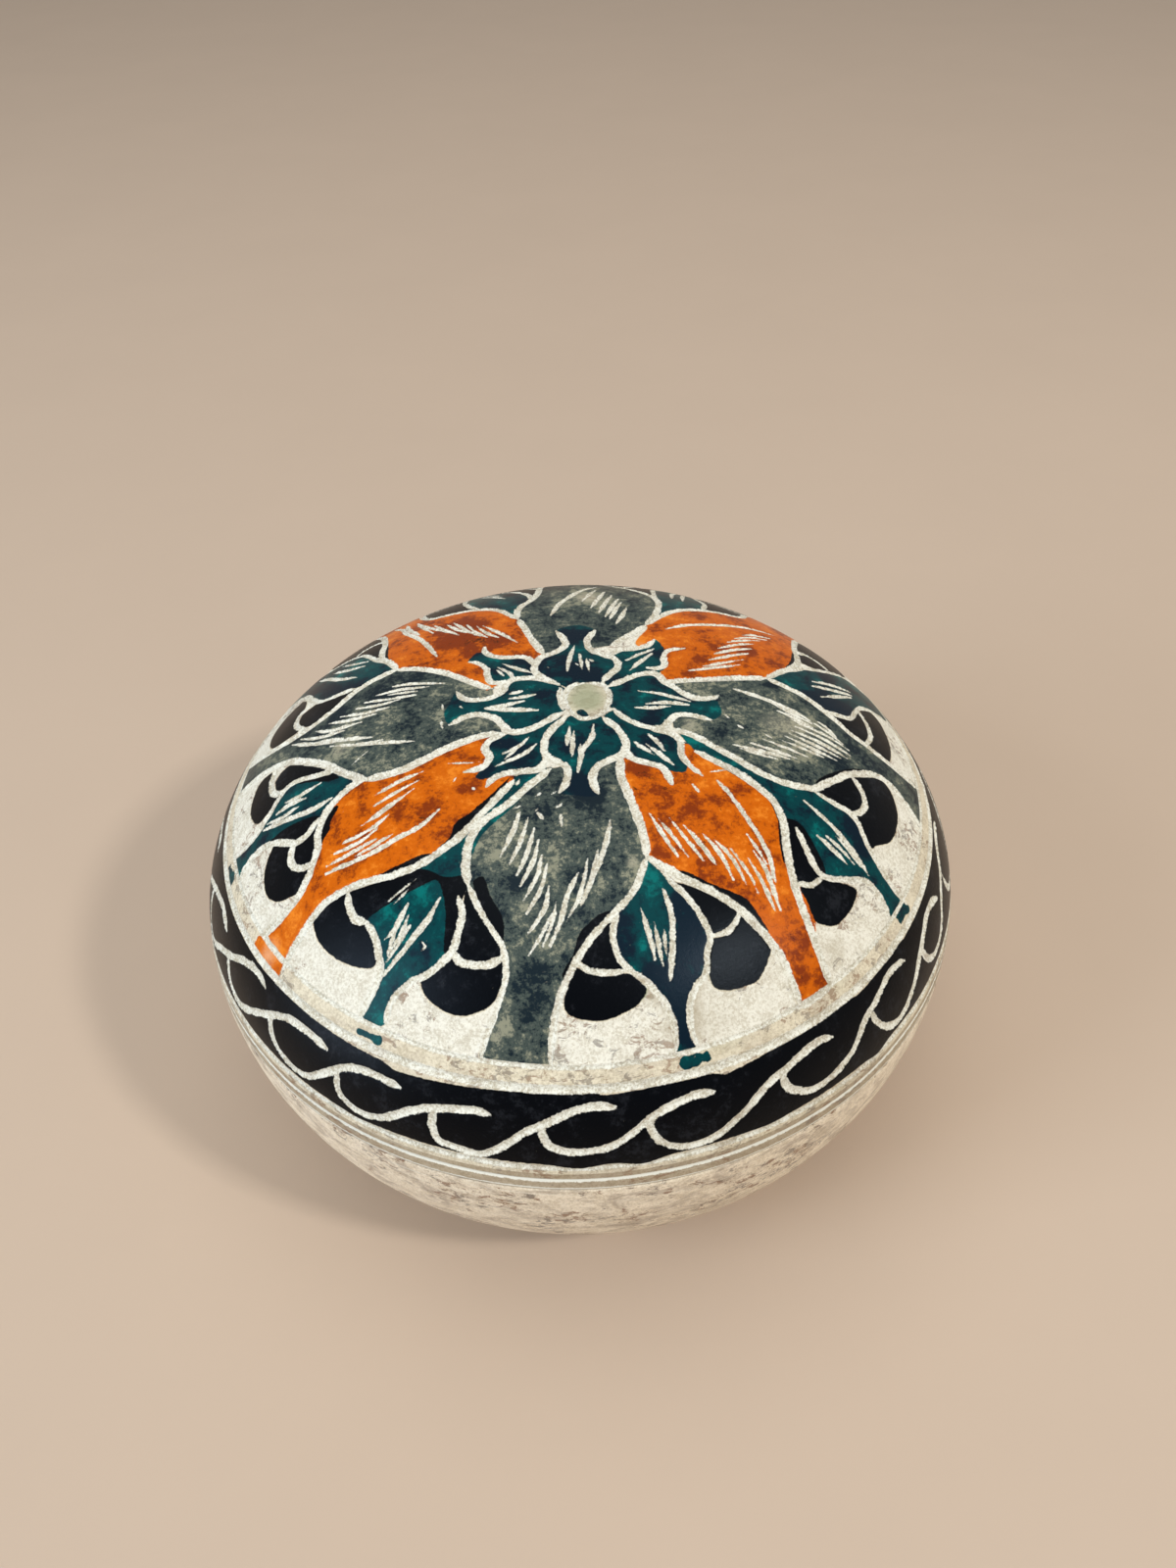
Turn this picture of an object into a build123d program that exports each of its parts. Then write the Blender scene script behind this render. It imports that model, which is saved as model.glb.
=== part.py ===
"""Round soapstone box with a domed lid: a turned bowl with a raised lip, and a hollow lid over it.

Millimetres, +Z up, origin in the middle of the flat foot. Both pieces are solids of revolution.
The box is seen closed: the lid's flat rim stands on the bowl's flat rim at the seam.
"""
from build123d import *
import math
import os

# outside of the box
widest_radius = 60.0
foot_radius = 44.0
foot_round = 1.2
side_arc_radius = 47.5
rim_round = 0.35

# dome of the lid, an arc chain from the apex down to the rim
crown_arc_radius = 200.0
shoulder_arc_radius = 41.0
edge_arc_radius = 25.5
shoulder_tilt = 56.5

# wall of each piece
bowl_wall = 6.5
bowl_floor = 7.0
bowl_corner_round = 5.0
lid_wall = 6.5
lid_corner_round = 0.6

# raised lip on the bowl, and its seat in the lid
lip_height = 3.2
lip_thickness = 2.6
lip_round = 0.5
lip_side_clearance = 0.4
lip_top_clearance = 0.5

# turned grooves on the lid, each placed by the tilt of the surface that it is cut in
field_groove_tilt = 50.1
field_groove_width = 0.8
field_groove_depth = 0.15
band_groove_tilt = 54.3
band_groove_width = 1.1
band_groove_depth = 0.2
border_groove_tilt = 79.3
border_groove_width = 1.2
border_groove_depth = 0.2
trim_groove_tilt = 84.8
trim_groove_width = 0.8
trim_groove_depth = 0.15


def polar(centre, radius, tilt):
    """Point at a radius from a centre, on a ray tilted from the vertical by so many degrees."""
    angle = math.radians(tilt)
    return (centre[0] + radius * math.sin(angle), centre[1] + radius * math.cos(angle))


def arc(centre, radius, tilt_from, tilt_to):
    """Arc about a centre between two tilts, through its middle."""
    middle = (tilt_from + tilt_to) / 2
    ThreePointArc(
        polar(centre, radius, tilt_from),
        polar(centre, radius, middle),
        polar(centre, radius, tilt_to),
    )


# seam height: the side arc ends upright at the widest radius
side_centre_radius = widest_radius - side_arc_radius
foot_reach = foot_radius - side_centre_radius
seam_height = math.sqrt(side_arc_radius**2 - foot_reach**2)
side_centre = (side_centre_radius, seam_height)
foot_tilt = 90 + math.degrees(math.acos(foot_reach / side_arc_radius))

# centres of the dome's arcs, each tangent to the next, from the rim up
edge_centre = (widest_radius - edge_arc_radius, seam_height)
shoulder_centre = polar(edge_centre, edge_arc_radius - shoulder_arc_radius, shoulder_tilt)
crown_tilt = math.degrees(math.asin(shoulder_centre[0] / (crown_arc_radius - shoulder_arc_radius)))
crown_centre = polar(shoulder_centre, shoulder_arc_radius - crown_arc_radius, crown_tilt)

lip_inner_radius = widest_radius - bowl_wall
lip_outer_radius = lip_inner_radius + lip_thickness
seat_radius = lip_outer_radius + lip_side_clearance
seat_depth = lip_height + lip_top_clearance


def dome_arc(tilt):
    """Centre and radius of the dome's arc at a tilt."""
    if tilt <= crown_tilt:
        return crown_centre, crown_arc_radius
    if tilt <= shoulder_tilt:
        return shoulder_centre, shoulder_arc_radius
    return edge_centre, edge_arc_radius


def dome_profile(depth):
    """Half profile of the dome, sunk evenly by a depth, closed along the seam and the axis."""
    arc(crown_centre, crown_arc_radius - depth, 0, crown_tilt)
    arc(shoulder_centre, shoulder_arc_radius - depth, crown_tilt, shoulder_tilt)
    arc(edge_centre, edge_arc_radius - depth, shoulder_tilt, 90)
    Polyline(
        polar(edge_centre, edge_arc_radius - depth, 90),
        (0, seam_height),
        polar(crown_centre, crown_arc_radius - depth, 0),
    )


def ring_groove(tilt, width, depth):
    """Turned groove round the dome: a round tool of the right radius, sunk into the surface."""
    centre, radius = dome_arc(tilt)
    tool_radius = (width**2 / 4 + depth**2) / (2 * depth)
    with BuildPart() as groove:
        with BuildSketch(Plane.XZ):
            with Locations(polar(centre, radius + tool_radius - depth, tilt)):
                Circle(tool_radius)
        revolve(axis=Axis.Z)
    return groove.part


def rim_edges(solid, radius, height):
    """Circular edges of a solid at a radius and a height."""
    found = solid.edges().filter_by(GeomType.CIRCLE)
    return [e for e in found if abs(e.radius - radius) < 0.01 and abs(e.center().Z - height) < 0.01]


def make_bowl():
    """Bowl: curved side from the flat foot up to a flat rim, with a raised lip inside the rim."""
    with BuildPart() as body:
        with BuildSketch(Plane.XZ):
            with BuildLine():
                arc(side_centre, side_arc_radius, 90, foot_tilt)
                Polyline(
                    (foot_radius, 0), (0, 0), (0, seam_height), (widest_radius, seam_height)
                )
            make_face()
        revolve(axis=Axis.Z)
        fillet(rim_edges(body, foot_radius, 0), foot_round)
        fillet(rim_edges(body, widest_radius, seam_height), rim_round)

    # the hollow follows the outer side at the wall's thickness, down to the floor
    hollow_radius = side_arc_radius - bowl_wall
    floor_tilt = 90 + math.degrees(math.asin((seam_height - bowl_floor) / hollow_radius))
    with BuildPart() as hollow:
        with BuildSketch(Plane.XZ):
            with BuildLine():
                arc(side_centre, hollow_radius, 90, floor_tilt)
                Polyline(
                    polar(side_centre, hollow_radius, floor_tilt),
                    (0, bowl_floor),
                    (0, seam_height),
                    (lip_inner_radius, seam_height),
                )
            make_face()
        revolve(axis=Axis.Z)
        floor_radius = polar(side_centre, hollow_radius, floor_tilt)[0]
        fillet(rim_edges(hollow, floor_radius, bowl_floor), bowl_corner_round)

    with BuildPart() as lip:
        with BuildSketch(Plane.XY.offset(seam_height)):
            Circle(lip_outer_radius)
            Circle(lip_inner_radius, mode=Mode.SUBTRACT)
        extrude(amount=lip_height)
        lip_top = seam_height + lip_height
        fillet(rim_edges(lip, lip_outer_radius, lip_top), lip_round)
        fillet(rim_edges(lip, lip_inner_radius, lip_top), lip_round)

    return body.part - hollow.part + lip.part


def make_lid():
    """Lid: domed shell with a flat rim, a seat bored over the bowl's lip, and turned grooves."""
    with BuildPart() as body:
        with BuildSketch(Plane.XZ):
            with BuildLine():
                dome_profile(0)
            make_face()
        revolve(axis=Axis.Z)
        fillet(rim_edges(body, widest_radius, seam_height), rim_round)

    with BuildPart() as hollow:
        with BuildSketch(Plane.XZ):
            with BuildLine():
                dome_profile(lid_wall)
            make_face()
        revolve(axis=Axis.Z)

    with BuildPart() as seat:
        with BuildSketch(Plane.XY.offset(seam_height)):
            Circle(seat_radius)
        extrude(amount=seat_depth)
        fillet(rim_edges(seat, seat_radius, seam_height + seat_depth), lid_corner_round)

    lid = body.part - hollow.part - seat.part
    lid -= ring_groove(field_groove_tilt, field_groove_width, field_groove_depth)
    lid -= ring_groove(band_groove_tilt, band_groove_width, band_groove_depth)
    lid -= ring_groove(border_groove_tilt, border_groove_width, border_groove_depth)
    lid -= ring_groove(trim_groove_tilt, trim_groove_width, trim_groove_depth)
    return lid


os.makedirs("parts", exist_ok=True)
export_step(make_bowl(), "parts/bowl.step")
export_step(make_lid(), "parts/lid.step")
print("seam height", round(seam_height, 2))
print("overall height", round(crown_centre[1] + crown_arc_radius, 2))
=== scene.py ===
"""Soapstone box with a painted and carved lid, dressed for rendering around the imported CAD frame.

Lengths in the tables are millimetres. The lid's ornament is laid out on the flattened lid: a point (x, y)
lies at the distance hypot(x, y) from the top of the dome, measured along the dome, in the direction (x, y).
"""

import math

import bpy
import numpy as np
from bpy.props import FloatProperty, FloatVectorProperty, IntProperty, PointerProperty
from mathutils import Matrix, Vector


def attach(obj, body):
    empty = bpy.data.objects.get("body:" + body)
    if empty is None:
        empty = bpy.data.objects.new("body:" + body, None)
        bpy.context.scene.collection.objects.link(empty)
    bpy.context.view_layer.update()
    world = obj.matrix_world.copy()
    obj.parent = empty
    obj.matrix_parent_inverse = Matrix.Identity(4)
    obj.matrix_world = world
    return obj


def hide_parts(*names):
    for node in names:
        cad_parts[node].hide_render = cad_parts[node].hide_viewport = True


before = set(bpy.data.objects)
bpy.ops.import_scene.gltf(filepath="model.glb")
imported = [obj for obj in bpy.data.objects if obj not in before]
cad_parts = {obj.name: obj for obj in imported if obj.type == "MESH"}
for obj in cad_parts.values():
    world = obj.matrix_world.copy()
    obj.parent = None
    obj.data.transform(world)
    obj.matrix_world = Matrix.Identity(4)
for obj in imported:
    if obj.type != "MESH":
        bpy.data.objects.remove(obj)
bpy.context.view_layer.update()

bl_info = {
    "name": "Soapstone box",
    "version": (1, 0, 0),
    "blender": (4, 5, 0),
    "location": "View3D > Sidebar > Soapstone",
    "description": "Turned soapstone box with a painted and carved lid",
    "category": "Mesh",
}

MM = 0.001
PER_METRE = 1000
# Least divisor, so that points that coincide divide by no zero
TINY = 1e-9

# Turned shape, with the values of the part's own source
WIDEST_RADIUS = 60.0
FOOT_RADIUS = 44.0
FOOT_ROUND = 1.2
SIDE_RADIUS = 47.5
RIM_ROUND = 0.35
CROWN_RADIUS = 200.0
SHOULDER_RADIUS = 41.0
EDGE_RADIUS = 25.5
SHOULDER_TILT = math.radians(56.5)
WALL = 6.5
FLOOR = 7.0
FLOOR_ROUND = 5.0
LIP_HEIGHT = 3.2
LIP_OUTER = 56.1
LIP_ROUND = 0.5
SEAT_RADIUS = 56.5
SEAT_DEPTH = 3.7
SEAT_ROUND = 0.6

SIDE_CENTRE = WIDEST_RADIUS - SIDE_RADIUS
SEAM = math.sqrt(SIDE_RADIUS**2 - (FOOT_RADIUS - SIDE_CENTRE) ** 2)
EDGE_CENTRE = (WIDEST_RADIUS - EDGE_RADIUS, SEAM)
SHOULDER_CENTRE = (
    EDGE_CENTRE[0] + (EDGE_RADIUS - SHOULDER_RADIUS) * math.sin(SHOULDER_TILT),
    EDGE_CENTRE[1] + (EDGE_RADIUS - SHOULDER_RADIUS) * math.cos(SHOULDER_TILT),
)
CROWN_TILT = math.asin(SHOULDER_CENTRE[0] / (CROWN_RADIUS - SHOULDER_RADIUS))
CROWN_CENTRE_Z = SHOULDER_CENTRE[1] + (SHOULDER_RADIUS - CROWN_RADIUS) * math.cos(CROWN_TILT)

# Distances down the dome at which its crown arc and its shoulder arc end
CROWN_END = CROWN_RADIUS * CROWN_TILT
SHOULDER_END = CROWN_END + SHOULDER_RADIUS * (SHOULDER_TILT - CROWN_TILT)

# Distances down the dome where one finish ends and the next begins
FLOWER_END = 20.0
PAINT_END = 57.3
FIELD_RING = 57.6
FIELD_END = 60.45
BAND_FOOT = 71.5
BORDER_RING = 72.2
BAND_END = 73.4
TRIM_RING = 74.66
RIM_EDGE = 76.4

# Half widths of the rings carved there, and of the scroll
FIELD_RING_HALF = 0.32
FIELD_END_HALF = 0.6
BORDER_HALF = 0.5
TRIM_HALF = 0.34
SCROLL_HALF = 0.58

# Radius at which degrees round the band are turned into millimetres
BAND_MEAN_RADIUS = 57.87

# How far from a carved line or a paint its signed distance is worked out
REACH = 1.6
# Lengths over which a carved line and a hatching stroke reach full width, and the share of it at the tip
LINE_TAPER = 1.3
HATCH_TAPER = 2.4
TIP_SHARE = 0.35
# Spacing of the points along a carved line and along a paint's outline
LINE_STEP = 0.35
OUTLINE_STEP = 0.7
# How far neighbouring paints overlap, and the plain stone left between paint and scraped ground
LAP = 0.35
GROUND_GAP = 0.15
# Rounding of a dab's corners, and millimetres to a degree across it
DAB_ROUND = 0.5
DAB_DEGREE = 0.95

# Unevenness made by hand, from the stone's grain: (millimetres, grain size, seed)
KNIFE_WAVER = ((0.1, 1.9, 11), (0.07, 0.8, 12))
DAB_WAVER = ((0.35, 1.6, 8), (0.2, 0.6, 9))
KNIFE_NARROWING = 0.02
# Wobble of the turned rings: (grain size, seed), and millimetres on the skins and on the rim
WOBBLE_GRAIN = (9.0, 3)
RING_WOBBLE = 0.12
RIM_WOBBLE = 0.1

# Depth of the painted surface below the turned dome, its slow swell, and the least depth anywhere
PAINT_DEPTH = 0.06
SWELL = 0.03
SWELL_GRAIN = (7.0, 5)
LEAST_DEPTH = 0.01
# Widths over which a carved line and the scraped ground slope down
TRENCH_SLOPE = 0.5
GROUND_SLOPE = 0.7
# The knife's chatter: (share, grain size, seed)
FINE_CHATTER = (0.55, 0.55, 1)
COARSE_CHATTER = (0.45, 1.7, 2)

# How far a skin's underside lies below the dome, how far the body does there, and where it slopes down to it
SKIN_SINK = 1.3
BODY_SINK = 0.9
BODY_SLOPE = 0.8
# Plain turned surfaces: mean depth, swing, and (grain size, seed)
TURNED_DEPTH = 0.03
TURNED_SWING = 0.02
TURNED_GRAIN = (6.0, 4)

# Rows of points on the lid's body: in its hollow, where it shows outside, and under the skins
HOLLOW_ROWS = 90
SHOWN_ROWS = 46
HIDDEN_ROWS = 60
# How far under the skins the close rows go on
SHOWN_LAP = 0.9
# Turn of a profile beyond which its row gets a sharp edge
CREASE = math.radians(35)

# Map for baking: half the width of the round skin on it, and the margin round other skins and turned pieces
ROUND_MAP = 0.48
SKIN_MARGIN = 0.01
TURNED_MARGIN = 0.005

# Carved lines: (half width in mm, points on the flattened lid in mm)
CUTS = {
    # small flower, edges of the petals
    "n_left": (0.62, (-2, 4.5), (-4.5, 6.5), (-5.7, 8.5), (-5.5, 10.5), (-4.6, 12.2), (-2.8, 13.2),
        (-1.6, 14.3), (-0.9, 15.8), (-1.3, 17.5), (-2.4, 19.8)),
    "n_right": (0.62, (4.6, 4.9), (5.6, 6.5), (6.8, 8), (7.2, 9.7), (6.6, 11.2), (5, 12.2), (3.3, 13.4),
        (2.6, 15), (2.6, 16.8), (3.3, 18.5), (3.9, 19.8)),
    "e_up": (0.6, (5.5, 3.6), (8, 5.3), (10, 6.6), (12, 7.1), (13.2, 6.5), (14, 5), (15.5, 3.5), (17, 1.9),
        (18.7, 1), (21, 1.3), (22, 2)),
    "e_low": (0.55, (6, -1.7), (7.2, -3.5), (9, -5), (11, -6), (13, -5.9), (14.2, -4.3), (15.5, -3.1),
        (17.5, -3), (20.3, -4)),
    "s_left": (0.6, (-1, -3.6), (-2.8, -5.5), (-4, -8), (-4.2, -10), (-3.8, -11.7), (-2.5, -12.7),
        (-1.2, -13.8), (-0.9, -15.5), (-1.3, -17.3), (-2.2, -18.8)),
    "s_right": (0.6, (4.4, -3.7), (6.2, -6), (7.3, -8.2), (7.5, -10), (6.8, -11.8), (5, -12.7), (3.3, -14),
        (2.6, -15.6), (2.6, -17.2), (3.3, -19.2)),
    "w_up": (0.55, (-2, 4.6), (-4, 5.8), (-6.5, 6.6), (-9, 6.5), (-10, 5.3), (-10.6, 3.6), (-12.2, 2.3),
        (-14.5, 2), (-16.5, 2.7), (-17.6, 4.6)),
    "w_low": (0.62, (-1.5, -2.2), (-4, -4.2), (-6.5, -5.8), (-9, -6), (-10.2, -4.5), (-11.5, -2.7),
        (-13.5, -1.6), (-15.5, -1.6), (-18.2, -3.2)),
    "nw_left": (0.5, (-9.6, 6.2), (-12.2, 6), (-13, 8), (-13.3, 10), (-14.7, 11.8), (-16.2, 12.4)),
    "nw_top": (0.55, (-5.7, 9.7), (-6.6, 11.7), (-8, 12.6), (-10.5, 12.7), (-12.5, 13.5), (-13.7, 14.9),
        (-13.8, 16.2)),
    "ne_top": (0.6, (6.6, 12.2), (7.6, 13.6), (10, 13.9), (12, 14.9), (13.3, 16.7)),
    "ne_right": (0.5, (11.6, 8.5), (13.7, 8.6), (14.4, 9.6), (14.3, 11), (14.7, 12.7), (15.5, 13.7),
        (17.8, 14.3)),
    "se_right": (0.5, (10.6, -6.1), (14, -7.3), (15.3, -9), (15.3, -11.5), (16.2, -13.7), (18, -15.8)),
    "se_left": (0.6, (7.3, -10.6), (8.3, -12.5), (10.5, -13.5), (12.5, -14.5), (13.6, -17.5)),
    "sw_left": (0.6, (-9.6, -6.2), (-12, -7.4), (-12.7, -9.3), (-12, -11.2), (-13, -12.9), (-15.5, -13.6)),
    "sw_right": (0.6, (-3.9, -12.2), (-5, -14.1), (-7.5, -14.3), (-9.5, -14.5), (-11.3, -15.3),
        (-12.3, -16.8)),
    # large petals: lines that two petals share, then the edge of each one down to its foot
    "wsw_stem": (0.72, (-10.4, -6.3), (-13, -6.3), (-16.2, -7.4), (-19.5, -9), (-22.8, -10.9),
        (-26.2, -12.2), (-29.9, -12.5)),
    "w_foot_low": (0.7, (-29.9, -12.5), (-32.8, -10.7), (-35.3, -8.6), (-37.8, -6.5), (-40.3, -4.9),
        (-43.3, -3), (-46.2, -1.8), (-49.5, -1.1), (-52.8, -0.5), (-57.3, 0.1)),
    "sw_foot_up": (0.65, (-30.1, -12.3), (-32.4, -13.2), (-34.9, -15.3), (-36.5, -17.8), (-37.1, -20.3),
        (-37, -22.4), (-37.8, -24.6), (-38.6, -26.4), (-39.9, -28.2), (-41.8, -29.7), (-44.3, -30.9),
        (-48.2, -32)),
    "sw_foot_low": (0.6, (-8.5, -16), (-11, -19.3), (-12.8, -21.7), (-14.1, -23.5), (-16.1, -25.7),
        (-19, -27.8), (-22, -29.2), (-25.3, -29.8), (-29.5, -29.9), (-32.8, -30.4), (-35.3, -31.1),
        (-37.4, -32.4), (-39.5, -34), (-42, -35.9), (-44.6, -38.2)),
    "s_foot_left": (0.62, (-3.4, -14.2), (-5.1, -16), (-6.7, -17.6), (-8.4, -19.6), (-10.2, -21.1),
        (-12.2, -22.7), (-13.3, -24), (-14.1, -25.6), (-14.5, -27), (-14.7, -28.4), (-14.8, -30.9),
        (-14.4, -33)),
    "s_foot_thin": (0.42, (-14.4, -33), (-13.3, -35.9), (-11.8, -38.8), (-10.1, -41.8), (-9.7, -44.7),
        (-10.2, -47.2), (-11.6, -50.5), (-13.3, -53.8), (-14, -55.8)),
    "sse_stem": (0.62, (6.6, -12.2), (6.5, -15.9), (7.4, -19.3), (8.2, -22.6), (8.9, -25.5), (9.3, -28),
        (9.3, -30.1)),
    "s_foot_right": (0.5, (9.3, -30.1), (8.6, -32.2), (7.8, -34.3), (6.5, -36.3), (4.9, -38), (3.2, -39.7),
        (1.3, -41.8), (-0.4, -44.3), (-1.8, -46.8), (-3, -49.5), (-3.9, -53), (-4.4, -57.2)),
    "se_foot_left": (0.62, (9.3, -30.1), (11.8, -31.8), (14.7, -33.4), (18, -34.9), (20.9, -36.5),
        (23.4, -38.4), (25.5, -40.3), (27.6, -42.6), (29, -45.1), (31, -48.6)),
    "se_foot_right": (0.62, (17.4, -10.9), (20.1, -12.8), (23, -14.9), (25.5, -17.2), (27.6, -19.5),
        (28.6, -21.8), (28.9, -24.7), (29, -28), (29.5, -31.3), (30.5, -34.5), (32, -38), (33.8, -41.6),
        (35.6, -45)),
    "e_foot_low": (0.62, (14.6, -6.2), (18, -8), (20.5, -10.1), (23, -12), (25.5, -14), (28.4, -15.5),
        (31.3, -16.1), (34.3, -15.9), (36.3, -14.5), (38.4, -13), (40.5, -11.3), (43, -10.1), (45.5, -9),
        (48, -8.8), (50.5, -9.7), (53.4, -11.8), (55.8, -13.8)),
    "ene_stem": (0.62, (14.2, 4.9), (18, 5.5), (21.3, 6), (24.7, 6.6), (28, 7.1), (30.1, 7.5)),
    "e_foot_up": (0.6, (30.1, 7.5), (32.6, 6.2), (35.1, 5), (37.2, 3.5), (38.8, 2), (40.5, 0.6), (43, -1.5),
        (45.5, -2.5), (48.5, -3.6), (52.5, -4.4), (57.2, -4.6)),
    "ne_foot_right": (0.6, (30.1, 7.5), (33.4, 10.6), (35.5, 12.7), (36.8, 15.2), (37.2, 17.7), (37.4, 20.2),
        (38, 23.1), (39, 26.4), (40.2, 29.3), (42.4, 32.4), (45.8, 34.8)),
    "nne_stem": (0.6, (6.3, 14.9), (9.7, 18.5), (12.2, 21.4)),
    "ne_foot_left": (0.6, (12.2, 21.4), (14.3, 24), (16.6, 26.4), (19, 28), (21.6, 29), (25, 29.8),
        (28.4, 30.1), (30, 31.4), (31, 34.2), (33, 38.2), (37.4, 43.6)),
    "n_foot_right": (0.6, (12.2, 21.4), (13.6, 24.3), (14.5, 26.8), (14.9, 29.8), (14.5, 33), (12.6, 36.4),
        (9.6, 39.8), (6.6, 43.2), (5.3, 47.6), (5.3, 52), (6, 57.2)),
    "nnw_stem": (0.62, (-4.4, 12.9), (-6.2, 17.3), (-7.4, 21), (-8.7, 24.7)),
    "n_foot_left": (0.6, (-8.7, 24.7), (-8.9, 27.6), (-8, 30.2), (-6.6, 32.3), (-5.9, 34.5), (-5.6, 38),
        (-5.4, 43), (-4.6, 50), (-4.4, 57.2)),
    "nw_foot_right": (0.6, (-8.7, 24.7), (-10, 26.2), (-11.7, 28.4), (-14, 29.9), (-17, 30.6), (-20.6, 30.7),
        (-24, 31), (-25.8, 33.4), (-26.9, 37), (-28.4, 42), (-31.2, 48.4)),
    "wnw_stem": (0.62, (-12.2, 4.6), (-13.4, 5.2), (-16.2, 7.3), (-18.7, 9.3), (-22, 11.2), (-24.9, 12.3),
        (-27.8, 13)),
    "nw_foot_left": (0.6, (-27.8, 13), (-29.1, 15.6), (-30.8, 18.1), (-31.4, 21), (-31.4, 23.9), (-32, 26.8),
        (-32.8, 29.3), (-34.4, 32.3), (-36.6, 35.8), (-40, 41.4)),
    "w_foot_up": (0.65, (-27.8, 13), (-30.3, 12), (-32.8, 10.6), (-34.9, 8.9), (-37, 6.8), (-39.5, 5),
        (-42, 3.9), (-44.9, 3.4), (-47.8, 3.7), (-50.8, 4.4), (-53.7, 5.4), (-57, 6.8)),
    # leaves between the petals
    "ssw_leaf_left": (0.6, (-29.3, -35.7), (-28.3, -37), (-27.6, -39.3), (-27.4, -42.2), (-28.3, -44.3),
        (-29.7, -45.9), (-31.8, -48.4)),
    "ssw_leaf_right": (0.5, (-15.8, -34.5), (-15.3, -36.9), (-16, -39.7), (-16.8, -41.6), (-18.7, -43.2),
        (-20.9, -44.3), (-23.4, -45), (-25.9, -46.6), (-27.6, -49.6)),
    "wsw_leaf_up": (0.55, (-34.9, -9), (-38.7, -8.6), (-42, -8), (-44.1, -8.5), (-45.6, -9.9), (-47, -11.8),
        (-49.1, -13.9), (-51.6, -15), (-55.4, -15.4)),
    "wsw_leaf_low": (0.55, (-37.2, -17.3), (-39, -19.3), (-41.2, -19.8), (-43.3, -18.9), (-45.8, -17.9),
        (-48.7, -17.6), (-51.6, -18.5), (-54, -20)),
    "sse_leaf_left": (0.45, (5.3, -38), (4.5, -40.1), (4.6, -42.2), (5.3, -44.3), (6.6, -45.6), (8.9, -47.3),
        (10.9, -49.3), (12.2, -51.8), (12.7, -54.3), (12.7, -55.9)),
    "sse_leaf_right": (0.45, (11.8, -33.2), (13.8, -35.1), (15.5, -37.2), (16.8, -39.4), (17.4, -41.1),
        (16.9, -43), (16.8, -45.6), (15.5, -47.3), (14.6, -49.6), (14.8, -52.6), (15.9, -55.5)),
    "ese_leaf_up": (0.5, (34.3, -16.4), (36.8, -17.6), (39.5, -18.4), (41.1, -19.7), (42, -21.8),
        (43.2, -24), (45.1, -26.3), (47.6, -28.2), (50.6, -29.6)),
    "ese_leaf_low": (0.5, (30.7, -23.6), (31.8, -26.3), (33, -28.8), (34.2, -30.1), (36.3, -30.2),
        (39.3, -29.5), (41.8, -29), (43.8, -29.9), (45.5, -31.3), (46.8, -33.2)),
    "ene_leaf_low": (0.5, (38.9, 2.1), (41.8, 2.3), (43.8, 2.9), (45.1, 4.8), (46.8, 7.7), (49.6, 10),
        (55, 12.2)),
    "ene_leaf_up": (0.5, (33.4, 10.6), (35.5, 12), (38, 13.9), (40.9, 15.4), (43.6, 17.2), (47.4, 19.5),
        (52.8, 20)),
    "wnw_leaf_low": (0.55, (-34.6, 10.6), (-38.7, 10.5), (-41.2, 11.2), (-43.3, 13.6), (-44.9, 16.4),
        (-47.2, 18.9), (-50.6, 21.4), (-53.4, 21.8)),
    "wnw_leaf_up": (0.5, (-31.2, 16.9), (-33.3, 20.2), (-35.3, 22.9), (-38.4, 24.4), (-42, 25),
        (-45.8, 27.2), (-49.6, 29.8)),
    "nnw_leaf_left": (0.5, (-15.6, 30.3), (-17.6, 33.4), (-18.8, 37.2), (-19.2, 41), (-21, 44),
        (-22.8, 47.6), (-23.4, 52.6)),
    "nnw_leaf_right": (0.5, (-6.6, 32.3), (-7.6, 36), (-10.6, 40.4), (-14, 43.4), (-16.6, 46.6),
        (-17.4, 50.6), (-18, 54.4)),
    "nne_leaf_left": (0.5, (14.6, 32), (14.6, 37.2), (15, 41), (17, 44), (18.6, 47.6), (19, 51.6),
        (18.2, 54.5)),
    "nne_leaf_right": (0.5, (22.6, 29.6), (23.4, 34), (22.6, 38), (22.6, 42), (23.6, 46), (24.2, 51.9)),
    # ends of the feet
    "se_foot_end": (0.42, (30.6, -49.2), (33.4, -47.4), (36.3, -44.8)),
    "sw_foot_end": (0.5, (-48.5, -31.1), (-46.3, -34.3), (-43.5, -37.8)),
    # arcs that part the inner drops from the outer ones
    "arc_ssw_a": (0.62, (-31.9, -30.6), (-31.6, -33.2), (-30.6, -35), (-28.7, -35.8)),
    "arc_ssw_b": (0.55, (-16.8, -41.6), (-15.8, -43.2), (-14.1, -43.8), (-12, -44), (-9.9, -43.2)),
    "arc_wsw_a": (0.6, (-41.4, -19.8), (-41.9, -21.8), (-41.4, -23.6), (-39.9, -24.5), (-37.4, -24.6)),
    "arc_wsw_b": (0.6, (-47.2, -2), (-47.8, -5), (-47, -7.6), (-45, -9.2)),
    "arc_sse_a": (0.42, (-0.4, -44.5), (1.3, -45.6), (3.8, -45.9), (6.3, -45.6)),
    "arc_sse_b": (0.42, (21.7, -36.9), (20.9, -38.8), (19.5, -40.2), (17.3, -40.9)),
    "arc_ese_a": (0.45, (30, -32.1), (32.2, -32), (33.6, -31), (34.4, -30.2)),
    "arc_ese_b": (0.5, (41.3, -11.4), (42.7, -13.5), (43, -15.9), (41.9, -17.8), (40.2, -18.6)),
    "arc_ene_a": (0.5, (46.4, 7), (47.4, 4), (47.5, 1.2), (46.8, -0.8), (45.4, -2.5)),
    "arc_ene_b": (0.5, (37.2, 19), (39.6, 20.6), (42.2, 19.4), (43.4, 17.2)),
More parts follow.
